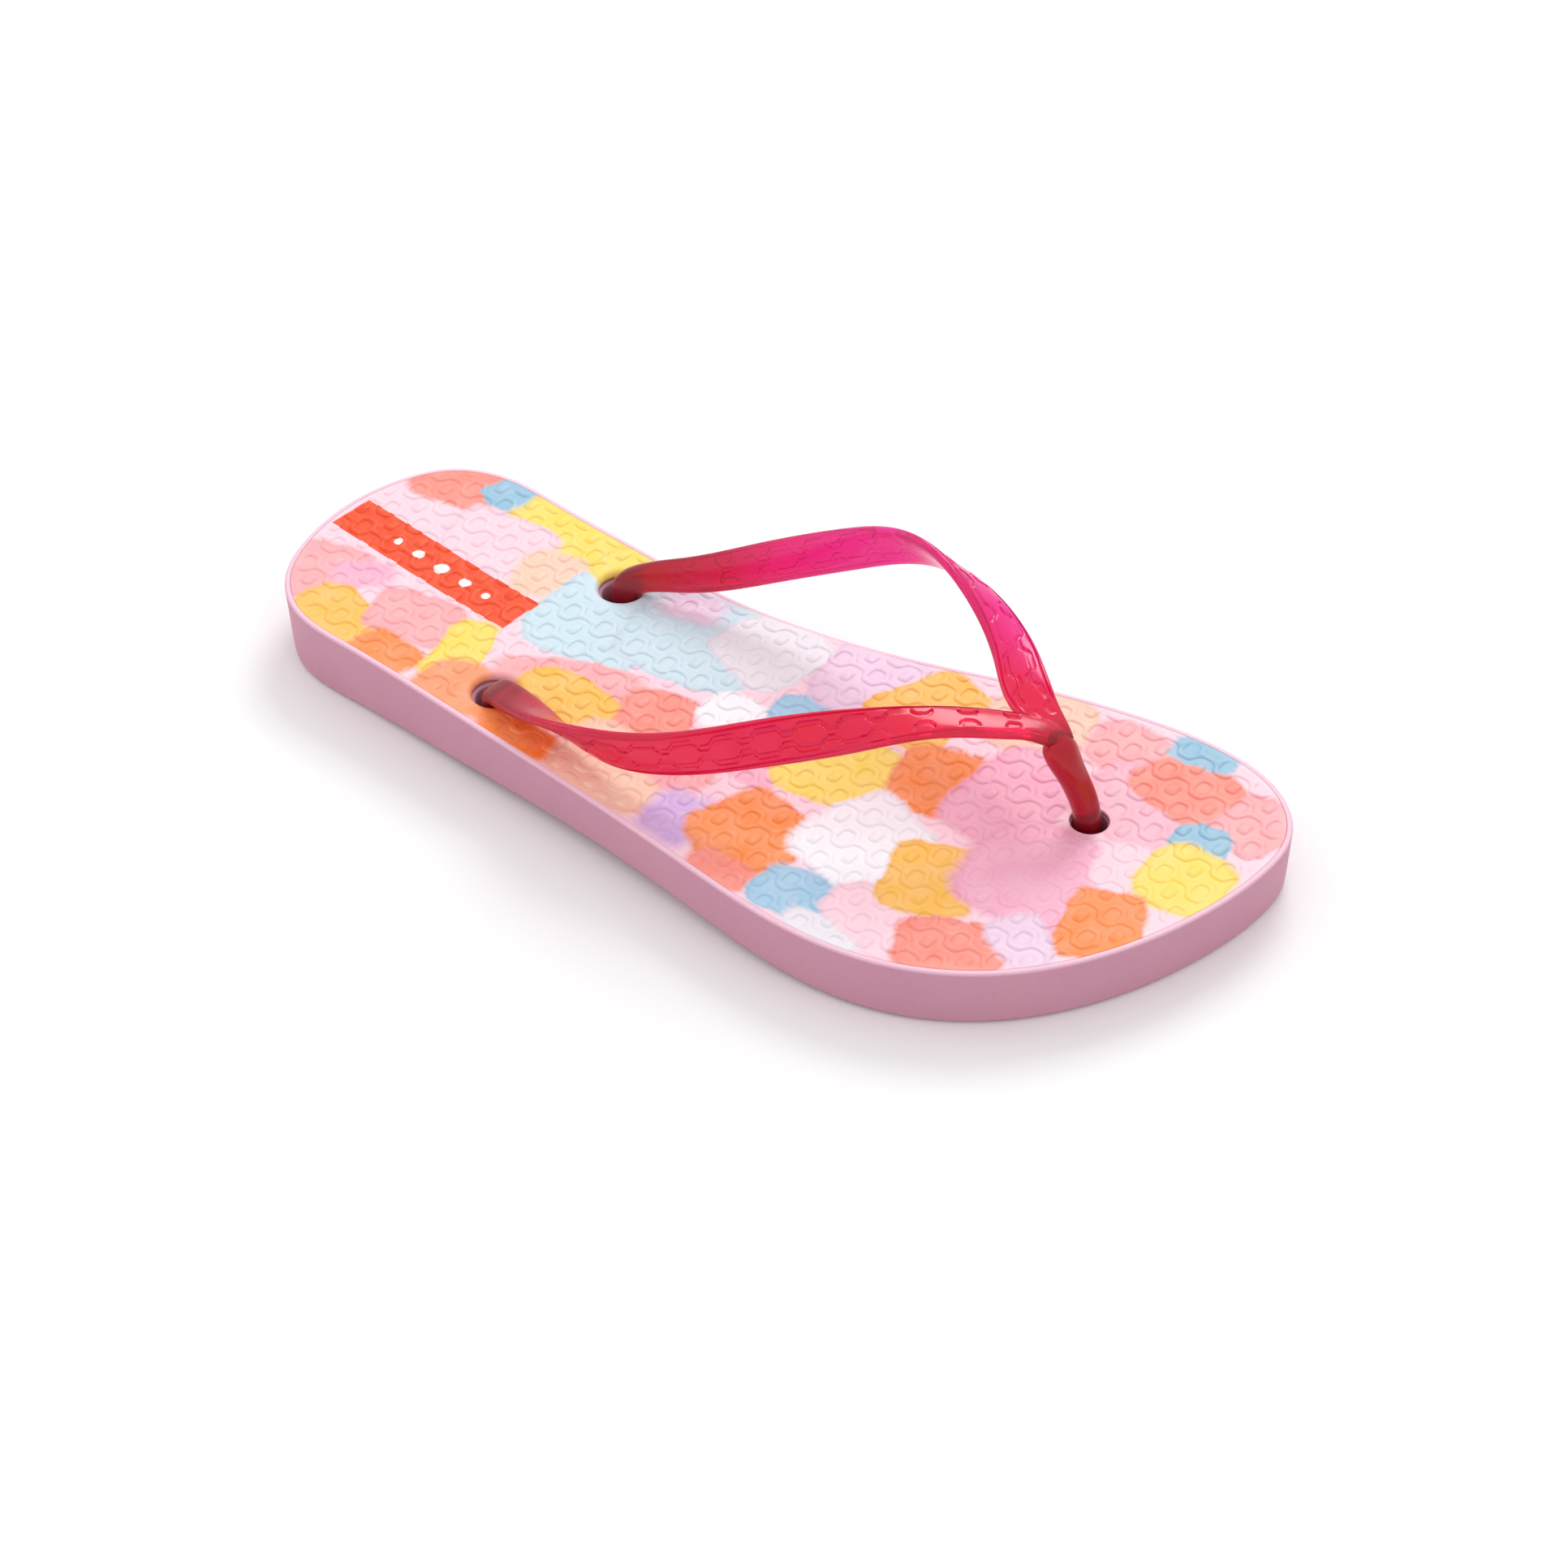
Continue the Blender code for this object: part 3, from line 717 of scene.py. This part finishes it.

# A plain pattern of rounded swatches, one of them a painted shadow, the later over the earlier: x, y of the
# middle, half length, half width, turn in degrees, colour and softness of the edge.
PATCHES = (
    # Heel
    (-109, 13, 12, 9, 14, CORAL, 0.08),
    (-94, 17, 8, 6, -10, STEEL, 0.05),
    (-75, 15, 16, 9, -5, YELLOW, 0.05),
    (-86, 3, 14, 10, 6, PALE_PINK, 0.05),
    (-67, 1, 9, 9, 20, PEACH, 0.12),
    (-110, -34, 12, 11, 20, SALMON, 0.08),
    (-95, -42, 12, 8, -10, GOLD, 0.05),
    (-101, -28, 8, 5, 35, PINK, 0.2),
    (-80, -31, 12, 9, 12, SALMON, 0.06),
    (-76, -45, 9, 6, 0, ORANGE, 0.1),
    (-64, -33, 6, 12, 14, YELLOW, 0.06),
    # Waist
    (-55, -43, 10, 10, 8, APRICOT, 0.1),
    (-46, -3, 17, 17, 0, PALE_BLUE, 0.03),
    (-24, 6, 19, 16, 10, PALE_BLUE, 0.03),
    (-55, 15, 8, 7, 0, YELLOW, 0.08),
    # Soft lilac swatch under the inner arm: a painted shadow of the arm on the footbed.
    (-33, 14, 8, 5, 20, LILAC, 0.3),
    (-38, -24, 18, 6, 24, SALMON, 0.1),
    (-33, -31, 14, 9, 8, GOLD, 0.05),
    (-33, -47, 13, 5, 0, BRIGHT_ORANGE, 0.12),
    (-14, -20, 9, 8, 16, CORAL, 0.08),
    (-8, 14, 13, 12, -14, GREY_WHITE, 0.03),
    (-9, -40, 15, 13, 10, PEACH, 0.08),
    (2, -30, 9, 7, -20, SALMON, 0.1),
    (1, -9, 9, 7, 0, WHITE, 0.05),
    (12, 2, 8, 6, 35, SKY, 0.06),
    (16, 20, 12, 13, 10, LILAC, 0.06),
    (14, -44, 8, 9, 0, VIOLET, 0.2),
    (16, -16, 8, 10, 0, PINK, 0.1),
    # Ball
    (33, 22, 11, 15, -12, GOLD, 0.04),
    (30, -8, 14, 12, 10, YELLOW, 0.04),
    (29, -37, 13, 13, -18, ORANGE, 0.05),
    (33, -50, 8, 5, 0, CORAL, 0.1),
    (50, 4, 11, 12, 16, ORANGE, 0.05),
    (50, -22, 13, 15, -14, WHITE, 0.04),
    (50, -45, 10, 8, 6, SKY, 0.08),
    (55, 34, 12, 12, 12, PEACH, 0.06),
    (66, 11, 12, 17, 0, PINK, 0.06),
    (68, -40, 12, 9, -8, PALE_PINK, 0.05),
    (70, -22, 11, 12, 24, GOLD, 0.04),
    (62, -51, 10, 4, 0, GREY_WHITE, 0.08),
    (86, -37, 12, 9, 30, CORAL, 0.05),
    (79, 41, 13, 9, 12, SALMON, 0.08),
    # Toe
    (86, -6, 16, 17, 0, PINK, 0.08),
    (90, 26, 15, 13, -8, TOE_PINK, 0.06),
    (96, 39, 14, 10, -6, CORAL, 0.06),
    (90, 51, 9, 4, 8, STEEL, 0.1),
    (113, 39, 8, 10, 0, SALMON, 0.06),
    (107, 26, 7, 6, 20, STEEL, 0.08),
    (102, 9, 10, 8, 16, PALE_PINK, 0.1),
    (112, 14, 10, 11, 8, YELLOW, 0.06),
    (107, -10, 10, 12, 24, ORANGE, 0.05),
    (97, -26, 9, 7, -30, LILAC, 0.08),
)
# Where the swatches' edges wander: scale of the noise and its reach in millimetres.
WANDER = ((0.05, 7.0), (0.22, 2.4), (0.9, 0.7))

# Heel band: x, y of the middle, half length, half width and turn in degrees; its dots: x and radius.
BAND = (-91.5, -13.8, 29.6, 6.2, -1.9)
BAND_RED, BAND_LIGHT_RED, DOT_WHITE = (238, 92, 70), (246, 112, 84), (255, 250, 248)
DOTS = ((-104.0, 1.1), (-97.0, 1.5), (-89.0, 1.9), (-81.0, 1.5), (-74.0, 1.1))


def turned_in(tree, place, x, y, half_x, half_y, turn):
    """The place measured in half sizes of a swatch or band, from its middle and along its own axes."""
    inputs = {
        "Vector": place, "Location": (x, y, 0), "Rotation": (0, 0, math.radians(turn)),
        "Scale": (half_x, half_y, 1),
    }
    return add_node(tree, "Mapping", inputs, vector_type="TEXTURE").outputs[0]


def length_of(tree, vector):
    return add_node(tree, "VectorMath", {0: vector}, operation="LENGTH").outputs[1]


def paint_patch(tree, under, place, patch):
    """One plain swatch with rounded corners, even in the middle and with a thin darker line inside its edge."""
    x, y, half_x, half_y, turn, colour, softness = patch
    within = turned_in(tree, place, x, y, half_x, half_y, turn)
    squared = add_node(tree, "VectorMath", {0: within, 1: within}, operation="MULTIPLY").outputs[0]
    distance = add_node(tree, "Math", {0: length_of(tree, squared)}, operation="SQRT").outputs[0]
    ramp = add_node(tree, "ValToRGB", {0: mapped(tree, distance, 0.0, 2.0, 0.0, 1.0)})
    body, edge = linear(colour), np.array(linear(colour)) * (0.93, 0.88, 0.9, 1.0)
    stops = ramp.color_ramp.elements
    stops[0].position, stops[0].color = 0.0, body
    stops[1].position, stops[1].color = 0.5 * (1 + softness) + 0.004, (*body[:3], 0.0)
    rim = stops.new(0.5 * (1 - softness) - 0.004)
    rim.color = tuple(edge) if softness < 0.1 else body
    inner = stops.new(0.5 * (1 - softness) - 0.045)
    inner.color = body
    return mixed(tree, ramp.outputs["Alpha"], under, ramp.outputs["Color"])


def print_material():
    """Swatches with wandering edges on a pale ground, a light wash over them, and the heel band on top."""
    made, tree, shader = new_material("footbed print")
    place = place_mm(tree, flat=True)
    colour = linear(PALE_PINK)
    bend = place
    for scale, reach in WANDER:
        push = noise(tree, place, scale, 2.0, "Color")
        push = add_node(tree, "VectorMath", {0: push, 1: (0.5, 0.5, 0.5)}, operation="SUBTRACT").outputs[0]
        push = add_node(tree, "VectorMath", {0: push, 1: (reach, reach, 0)}, operation="MULTIPLY").outputs[0]
        bend = add_node(tree, "VectorMath", {0: bend, 1: push}, operation="ADD").outputs[0]
    for patch in PATCHES:
        colour = paint_patch(tree, colour, bend, patch)

    wash = mapped(tree, noise(tree, place, 0.14, 4.0), 0.3, 0.7, 0.0, 0.13)
    colour = mixed(tree, wash, colour, linear(WASH_WHITE))
    colour = band_over(tree, colour, place)
    colour = add_node(tree, "HueSaturation", {"Saturation": 1.08, "Color": colour}).outputs[0]
    grain = noise(tree, place, 4.0, 2.0)
    tone = mapped(tree, grain, 0.3, 0.7, 0.95, 1.04)
    tone = add_node(tree, "CombineXYZ", {0: tone, 1: tone, 2: tone}).outputs[0]
    colour = mixed(tree, 1.0, colour, tone, "MULTIPLY")
    tree.links.new(colour, shader.inputs["Base Color"])
    tree.links.new(mapped(tree, grain, 0.3, 0.7, 0.42, 0.58), shader.inputs["Roughness"])
    shader.inputs["Specular IOR Level"].default_value = 0.45
    bumped(tree, shader, grain, 0.035, 0.6)
    return made


def band_over(tree, colour, place):
    """A plain red band along the heel with a row of round dots."""
    box = turned_in(tree, place, *BAND)
    size = add_node(tree, "VectorMath", {0: box}, operation="ABSOLUTE").outputs[0]
    parts = add_node(tree, "SeparateXYZ", {0: size}).outputs
    farthest = add_node(tree, "Math", {0: parts[0], 1: parts[1]}, operation="MAXIMUM").outputs[0]
    on_band = mapped(tree, farthest, 0.985, 1.0, 1.0, 0.0)
    streaks = noise(tree, place, 0.35, 3.0)
    streaked = mapped(tree, streaks, 0.3, 0.7, 0.0, 1.0)
    red = mixed(tree, streaked, linear(BAND_RED), linear(BAND_LIGHT_RED))
    colour = mixed(tree, on_band, colour, red)
    for x, radius in DOTS:
        y = BAND[1] + math.tan(math.radians(BAND[4])) * (x - BAND[0])
        distance = length_of(tree, turned_in(tree, place, x, y, radius, radius, 0))
        colour = mixed(tree, mapped(tree, distance, 0.9, 1.1, 1.0, 0.0), colour, linear(DOT_WHITE))
    return colour


# ---------------------------------------------------------------- strap

# Toe post: x, y, height above the footbed and radius.
POST_STATIONS = (
    (83.6, 15.9, -11.8, 3.1), (83.4, 15.9, -3.0, 3.1), (82.9, 15.6, 3.0, 3.2), (81.5, 14.5, 9.0, 3.3),
    (79.4, 13.0, 15.0, 3.6), (77.5, 12.7, 18.4, 4.0), (76.2, 12.9, 20.6, 3.4), (75.2, 13.2, 22.2, 1.6),
)
# Arms from the plug upward: x, y, height above the footbed, outward facing, width and thickness.
OUTER_ARM = (
    ((-47.6, -38.8, -11.5), (1.0, 0.0, 0.0), 6.6, 4.8),
    ((-47.6, -38.9, -4.0), (1.0, 0.0, 0.0), 6.8, 4.8),
    ((-45.9, -39.7, 0.8), (0.8, 0.0, -0.6), 7.4, 4.4),
    ((-41.0, -41.0, 3.0), (0.3, 0.0, -0.95), 8.2, 3.6),
    ((-33.0, -42.6, 4.6), (0.15, -0.25, -0.96), 9.0, 3.0),
    ((-21.0, -44.0, 6.2), (0.0, -0.75, -0.66), 10.4, 2.8),
    ((-6.5, -43.4, 8.4), (0.25, -0.95, -0.15), 10.8, 2.8),
    ((11.5, -37.5, 13.5), (0.3, -0.93, 0.18), 10.8, 2.8),
    ((28.5, -28.5, 20.5), (0.22, -0.79, 0.57), 10.8, 2.8),
    ((43.5, -18.2, 25.5), (0.16, -0.41, 0.9), 10.6, 2.8),
    ((56.5, -5.0, 26.8), (0.1, 0.0, 1.0), 9.4, 2.9),
    ((67.0, 5.8, 24.9), (0.15, 0.2, 1.0), 8.6, 3.2),
    ((71.4, 10.0, 23.6), (0.2, 0.15, 1.0), 7.2, 3.2),
    ((75.5, 12.7, 22.1), (0.25, 0.1, 1.0), 5.8, 3.2),
    ((78.4, 14.7, 21.1), (0.3, 0.1, 1.0), 1.8, 2.0),
)
INNER_ARM = (
    ((-51.4, 8.9, -11.5), (0.0, 1.0, 0.0), 6.6, 4.8),
    ((-51.2, 8.9, -4.0), (-0.1, 1.0, 0.0), 6.6, 4.8),
    ((-49.8, 9.1, 1.2), (-0.3, 0.9, -0.1), 6.6, 4.4),
    ((-45.2, 10.9, 4.6), (-0.4, 0.9, -0.25), 7.2, 3.6),
    ((-35.5, 15.5, 7.6), (-0.35, 0.9, -0.3), 8.8, 3.0),
    ((-18.2, 24.0, 15.0), (-0.26, 0.92, -0.28), 10.2, 2.8),
    ((1.0, 30.6, 25.0), (-0.15, 0.98, -0.12), 10.4, 2.8),
    ((20.5, 33.5, 33.0), (0.0, 0.9, 0.4), 10.4, 2.8),
    ((38.4, 31.2, 32.0), (0.35, 0.42, 0.83), 10.0, 2.8),
    ((55.5, 24.0, 26.6), (0.2, -0.15, 0.96), 10.4, 2.9),
    ((68.0, 16.2, 23.6), (0.1, -0.25, 0.95), 9.6, 3.2),
    ((72.6, 15.4, 22.4), (0.2, -0.1, 1.0), 7.0, 3.2),
    ((75.9, 15.0, 21.7), (0.25, 0.0, 1.0), 4.4, 2.8),
    ((78.4, 14.7, 21.0), (0.3, 0.0, 1.0), 1.8, 2.0),
)
ARM_STEP = 0.38
OUTER_FACE_POINTS, INNER_FACE_POINTS = 46, 16
ARM_SQUARENESS = 3.0

# Strap emboss: a chain of six-sided cells between two stepped channels, and a fine line near each edge.
CHAIN_PITCH = 10.0
OUTER_PHASE, INNER_PHASE = 3.0, 5.0
CELL_HALF, NECK_HALF = 2.15, 0.6
CELL_FLAT, CELL_SLOPE = 2.4, 1.5
CHANNEL_WIDTH = 1.25
EDGE_LINE = 0.95
EDGE_LINE_FLOOR, EDGE_LINE_REACH = 0.1, 0.3
EDGE_LINE_SHARE = 0.7
STRAP_RELIEF = 0.6
STRAP_STEP = 0.14
# The relief is on the outer face alone, and fades over these lengths at the plug end and at the toe end.
OUTER_FACE_SHARE = 0.3
PLUG_FADE, TOE_FADE = (20, 34), (4, 14)


def facing_frame(centres, facings):
    """Unit width and outward directions across the path at each centre."""
    along = np.gradient(centres, axis=0)
    along /= np.linalg.norm(along, axis=1)[:, None]
    outward = facings - along * (facings * along).sum(axis=1)[:, None]
    outward /= np.linalg.norm(outward, axis=1)[:, None]
    return np.cross(outward, along), outward


def cell_half(along):
    """Half width of the chain of cells: wide flats, short slopes and narrow necks."""
    phase = folded(along, CHAIN_PITCH)
    return NECK_HALF + (CELL_HALF - NECK_HALF) * (1 - np.clip((phase - CELL_FLAT) / CELL_SLOPE, 0, 1))


def strap_relief(along, off_middle, half_width):
    """Depth below the outer face: the channels where there is room for them, and the line near each edge."""
    off = np.abs(off_middle)
    start = cell_half(along)
    end = start + CHANNEL_WIDTH
    in_channel = ease(off, start - STRAP_STEP, start + STRAP_STEP)
    in_channel *= 1 - ease(off, end - STRAP_STEP, end + STRAP_STEP)
    line = half_width - EDGE_LINE
    in_line = ease(off, line - EDGE_LINE_REACH, line - EDGE_LINE_FLOOR)
    in_line *= 1 - ease(off, line + EDGE_LINE_FLOOR, line + EDGE_LINE_REACH)
    room = ease(line - 0.4 - end, 0.0, 0.5)
    return -STRAP_RELIEF * np.maximum(in_channel * room, EDGE_LINE_SHARE * in_line)


def section_points():
    """Sideways and outward shares of the section, evenly spaced over the outer face."""
    flat = np.sin(np.linspace(-math.pi / 2, math.pi / 2, OUTER_FACE_POINTS))
    flat = 0.35 * flat + 0.65 * np.linspace(-1, 1, OUTER_FACE_POINTS)
    thick = (1 - np.abs(flat) ** ARM_SQUARENESS) ** (1 / ARM_SQUARENESS)
    back_turn = np.linspace(0, math.pi, INNER_FACE_POINTS + 2)[1:-1]
    back_flat = np.sign(np.cos(back_turn)) * np.abs(np.cos(back_turn)) ** (2 / ARM_SQUARENESS)
    back_thick = -np.abs(np.sin(back_turn)) ** (2 / ARM_SQUARENESS)
    return np.concatenate([flat, back_flat]), np.concatenate([thick, back_thick])


def build_arm(name, stations, phase):
    """One arm of the Y, swept along its stations; the phase shifts the chain of cells along it."""
    packed = [(*centre, *facing, width, thickness) for centre, facing, width, thickness in stations]
    rough = spline(packed, 60, closed=False)
    length = np.linalg.norm(np.diff(rough[:, :3], axis=0), axis=1).sum()
    path = spline(packed, int(length / ARM_STEP), closed=False)
    centres = path[:, :3].copy()
    centres[:, 2] += footbed_height(centres[:, 0], centres[:, 1])
    across_way, outward = facing_frame(centres, path[:, 3:6])
    flat, thick = section_points()
    along = np.linspace(0, length, len(path))
    strength = ease(along, *PLUG_FADE) * ease(length - along, *TOE_FADE)
    rings = []
    for i, centre in enumerate(centres):
        half_width, half_thickness = path[i, 6:8] / 2
        sideways = flat * half_width
        relief = strap_relief(along[i] - phase, sideways, half_width) * (thick > OUTER_FACE_SHARE) * strength[i]
        height = thick * half_thickness + relief
        rings.append(centre + np.outer(sideways, across_way[i]) + np.outer(height, outward[i]))
    return mesh_object(name, *skin(rings))


def build_post():
    path = spline(POST_STATIONS, 60, closed=False)
    centres = path[:, :3].copy()
    centres[:, 2] += footbed_height(centres[:, 0], centres[:, 1])
    side, out = facing_frame(centres, np.tile((1.0, 0.0, 0.0), (len(centres), 1)))
    turn = np.linspace(0, math.tau, ROUND_SEGMENTS, endpoint=False)
    rings = []
    for i, centre in enumerate(centres):
        circle = np.outer(np.cos(turn), side[i]) + np.outer(np.sin(turn), out[i])
        rings.append(centre + path[i, 3] * circle)
    return mesh_object("toe post", *skin(rings))


def build_plug(name, centre, radius):
    ceiling = underside_height(centre[0]) + WELL_DEPTH - PLUG_GAP
    floor = ceiling - PLUG_THICKNESS
    profile = (
        (radius * 0.32, floor + 0.5), (radius * 0.5, floor + 0.5), (radius * 0.56, floor), (radius, floor),
        (radius, ceiling), (3.0, ceiling + 0.8),
    )
    return turned(name, rounded(profile, 0.5), centre)


# Linear colours of the strap's plastic, and where three painted-light tints come in along x or y: a painted
# backlit glow in magenta on the inner arm, painted shade in deep red at the toe post and painted shade in
# brownish red at the arm roots.
ROSE, LIGHT_ROSE = (0.9, 0.015, 0.09, 1.0), (0.97, 0.03, 0.15, 1.0)
BACKLIT_MAGENTA_GLOW, POST_SHADE_RED, ROOT_SHADE_BROWN = (1.0, 0.04, 0.45, 1.0), (0.5, 0.004, 0.02, 1.0), (0.46, 0.03, 0.035, 1.0)
BACKLIT_GLOW_FROM_Y, POST_SHADE_FROM_X, ROOT_SHADE_TO_X = (18, 32), (70, 78), (-46, -16)
DEPTH_TINT, DEPTH_DENSITY = (0.97, 0.4, 0.75, 1.0), 300.0


def strap_material():
    """Clear coloured plastic, with painted light on top: a painted magenta backlit glow on the inner arm,
    painted deep red shade at the toe post and painted brownish shade at the roots.
    """
    made, tree, shader = new_material("strap")
    place = place_mm(tree)
    clouds = noise(tree, place, 0.12, 2.0)
    colour = mixed(tree, clouds, ROSE, LIGHT_ROSE)
    x, y = add_node(tree, "SeparateXYZ", {0: place}).outputs[:2]
    # Painted light: a magenta backlit glow on the inner arm, deep red shade at the toe post and brownish shade
    # at the arm roots.
    colour = mixed(tree, mapped(tree, y, *BACKLIT_GLOW_FROM_Y, 0.0, 0.8), colour, BACKLIT_MAGENTA_GLOW)
    colour = mixed(tree, mapped(tree, x, *POST_SHADE_FROM_X, 0.0, 0.95), colour, POST_SHADE_RED)
    colour = mixed(tree, mapped(tree, x, *ROOT_SHADE_TO_X, 0.75, 0.0), colour, ROOT_SHADE_BROWN)
    tree.links.new(colour, shader.inputs["Base Color"])
    shader.inputs["Transmission Weight"].default_value = 0.62
    shader.inputs["IOR"].default_value = 1.44
    grain = noise(tree, place, 1.6, 2.0)
    tree.links.new(mapped(tree, grain, 0.3, 0.7, 0.14, 0.2), shader.inputs["Roughness"])
    bumped(tree, shader, grain, 0.02, 0.25)
    depth = add_node(tree, "VolumeAbsorption")
    depth.inputs["Color"].default_value = DEPTH_TINT
    depth.inputs["Density"].default_value = DEPTH_DENSITY
    tree.links.new(depth.outputs[0], tree.nodes["Material Output"].inputs["Volume"])
    return made


def build_strap():
    """Post, arms and plugs joined into one moulding."""
    strap = build_plug("strap_moulding", TOE_ANCHOR, TOE_PLUG_RADIUS)
    pieces = (
        build_post(),
        build_arm("outer arm", OUTER_ARM, OUTER_PHASE),
        build_arm("inner arm", INNER_ARM, INNER_PHASE),
        build_plug("outer plug", OUTER_ANCHOR, SIDE_PLUG_RADIUS),
        build_plug("inner plug", INNER_ANCHOR, SIDE_PLUG_RADIUS),
    )
    for piece in pieces:
        combine(strap, piece, "UNION", "MANIFOLD")
    merge_close(strap)
    strap.data.materials.clear()
    strap.data.materials.append(strap_material())
    strap.data.shade_smooth()
    strap.data.set_sharp_from_angle(angle=math.radians(50))
    return strap


# ---------------------------------------------------------------- stage, light and camera

CAMERA_TURN, CAMERA_RISE, CAMERA_ROLL = 41.27, 40.77, -0.59
CAMERA_DISTANCE = 980.0
CAMERA_TARGET = (17.77, -12.2, 7.9)
CAMERA_LENS, CAMERA_SENSOR = 98.45, 36.0
FLOOR_HALF, FLOOR_HEIGHT = 3000, -0.3
FLOOR_GREY, FLOOR_WHITE = (250, 250, 250), (253, 253, 253)
WORLD_STRENGTH = 0.88
# Lights: name, place in millimetres, then size in metres and power in watts.
LIGHTS = (("key", (-350, 850, 900), 0.6, 5.6), ("fill", (-900, -500, 700), 0.4, 0.6))


def build_stage():
    signs = ((-1, -1), (1, -1), (1, 1), (-1, 1))
    corners = [(FLOOR_HALF * x, FLOOR_HALF * y, FLOOR_HEIGHT) for x, y in signs]
    floor = mesh_object("floor", corners, [[0, 1, 2, 3]])
    made, tree, shader = new_material("floor")
    dust = noise(tree, place_mm(tree), 0.01, 2.0)
    tree.links.new(mixed(tree, dust, linear(FLOOR_GREY), linear(FLOOR_WHITE)), shader.inputs["Base Color"])
    shader.inputs["Roughness"].default_value = 0.9
    shader.inputs["Specular IOR Level"].default_value = 0.1
    floor.data.materials.append(made)


def area_light(name, place, size, power):
    """A round light that looks at the middle of the ground plane."""
    data = bpy.data.lights.new(name, "AREA")
    data.shape = "DISK"
    data.size = size
    data.energy = power
    lamp = bpy.data.objects.new(name, data)
    bpy.context.scene.collection.objects.link(lamp)
    lamp.location = Vector(place) * MM
    lamp.rotation_euler = Vector(place).to_track_quat("Z", "Y").to_euler()


def build_light():
    world = bpy.data.worlds.new("studio")
    bpy.context.scene.world = world
    world.use_nodes = True
    background = world.node_tree.nodes["Background"]
    background.inputs["Color"].default_value = (1.0, 1.0, 1.0, 1.0)
    background.inputs["Strength"].default_value = WORLD_STRENGTH
    for light in LIGHTS:
        area_light(*light)
    bpy.context.scene.view_settings.view_transform = "Standard"


def build_camera():
    turn, rise, roll = (math.radians(a) for a in (CAMERA_TURN, CAMERA_RISE, CAMERA_ROLL))
    towards = Vector((math.sin(turn) * math.cos(rise), -math.cos(turn) * math.cos(rise), math.sin(rise)))
    data = bpy.data.cameras.new("camera")
    data.lens = CAMERA_LENS
    data.sensor_width = CAMERA_SENSOR
    data.clip_start, data.clip_end = 0.05, 20.0
    camera = bpy.data.objects.new("camera", data)
    bpy.context.scene.collection.objects.link(camera)
    place = (Vector(CAMERA_TARGET) + towards * CAMERA_DISTANCE) * MM
    look = towards.to_track_quat("Z", "Y").to_matrix().to_4x4() @ Matrix.Rotation(roll, 4, "Z")
    camera.matrix_world = Matrix.Translation(place) @ look
    bpy.context.scene.camera = camera


# ---------------------------------------------------------------- assembly


clean_scene()
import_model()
build_camera()
build_light()
build_stage()
shape = Outline()

sole_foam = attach(build_sole(shape), "sole")
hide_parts("sole")
footbed_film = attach(build_film(shape), "sole")
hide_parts("footbed_print")
strap_moulding = build_strap()
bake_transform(strap_moulding)
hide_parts("y_strap")
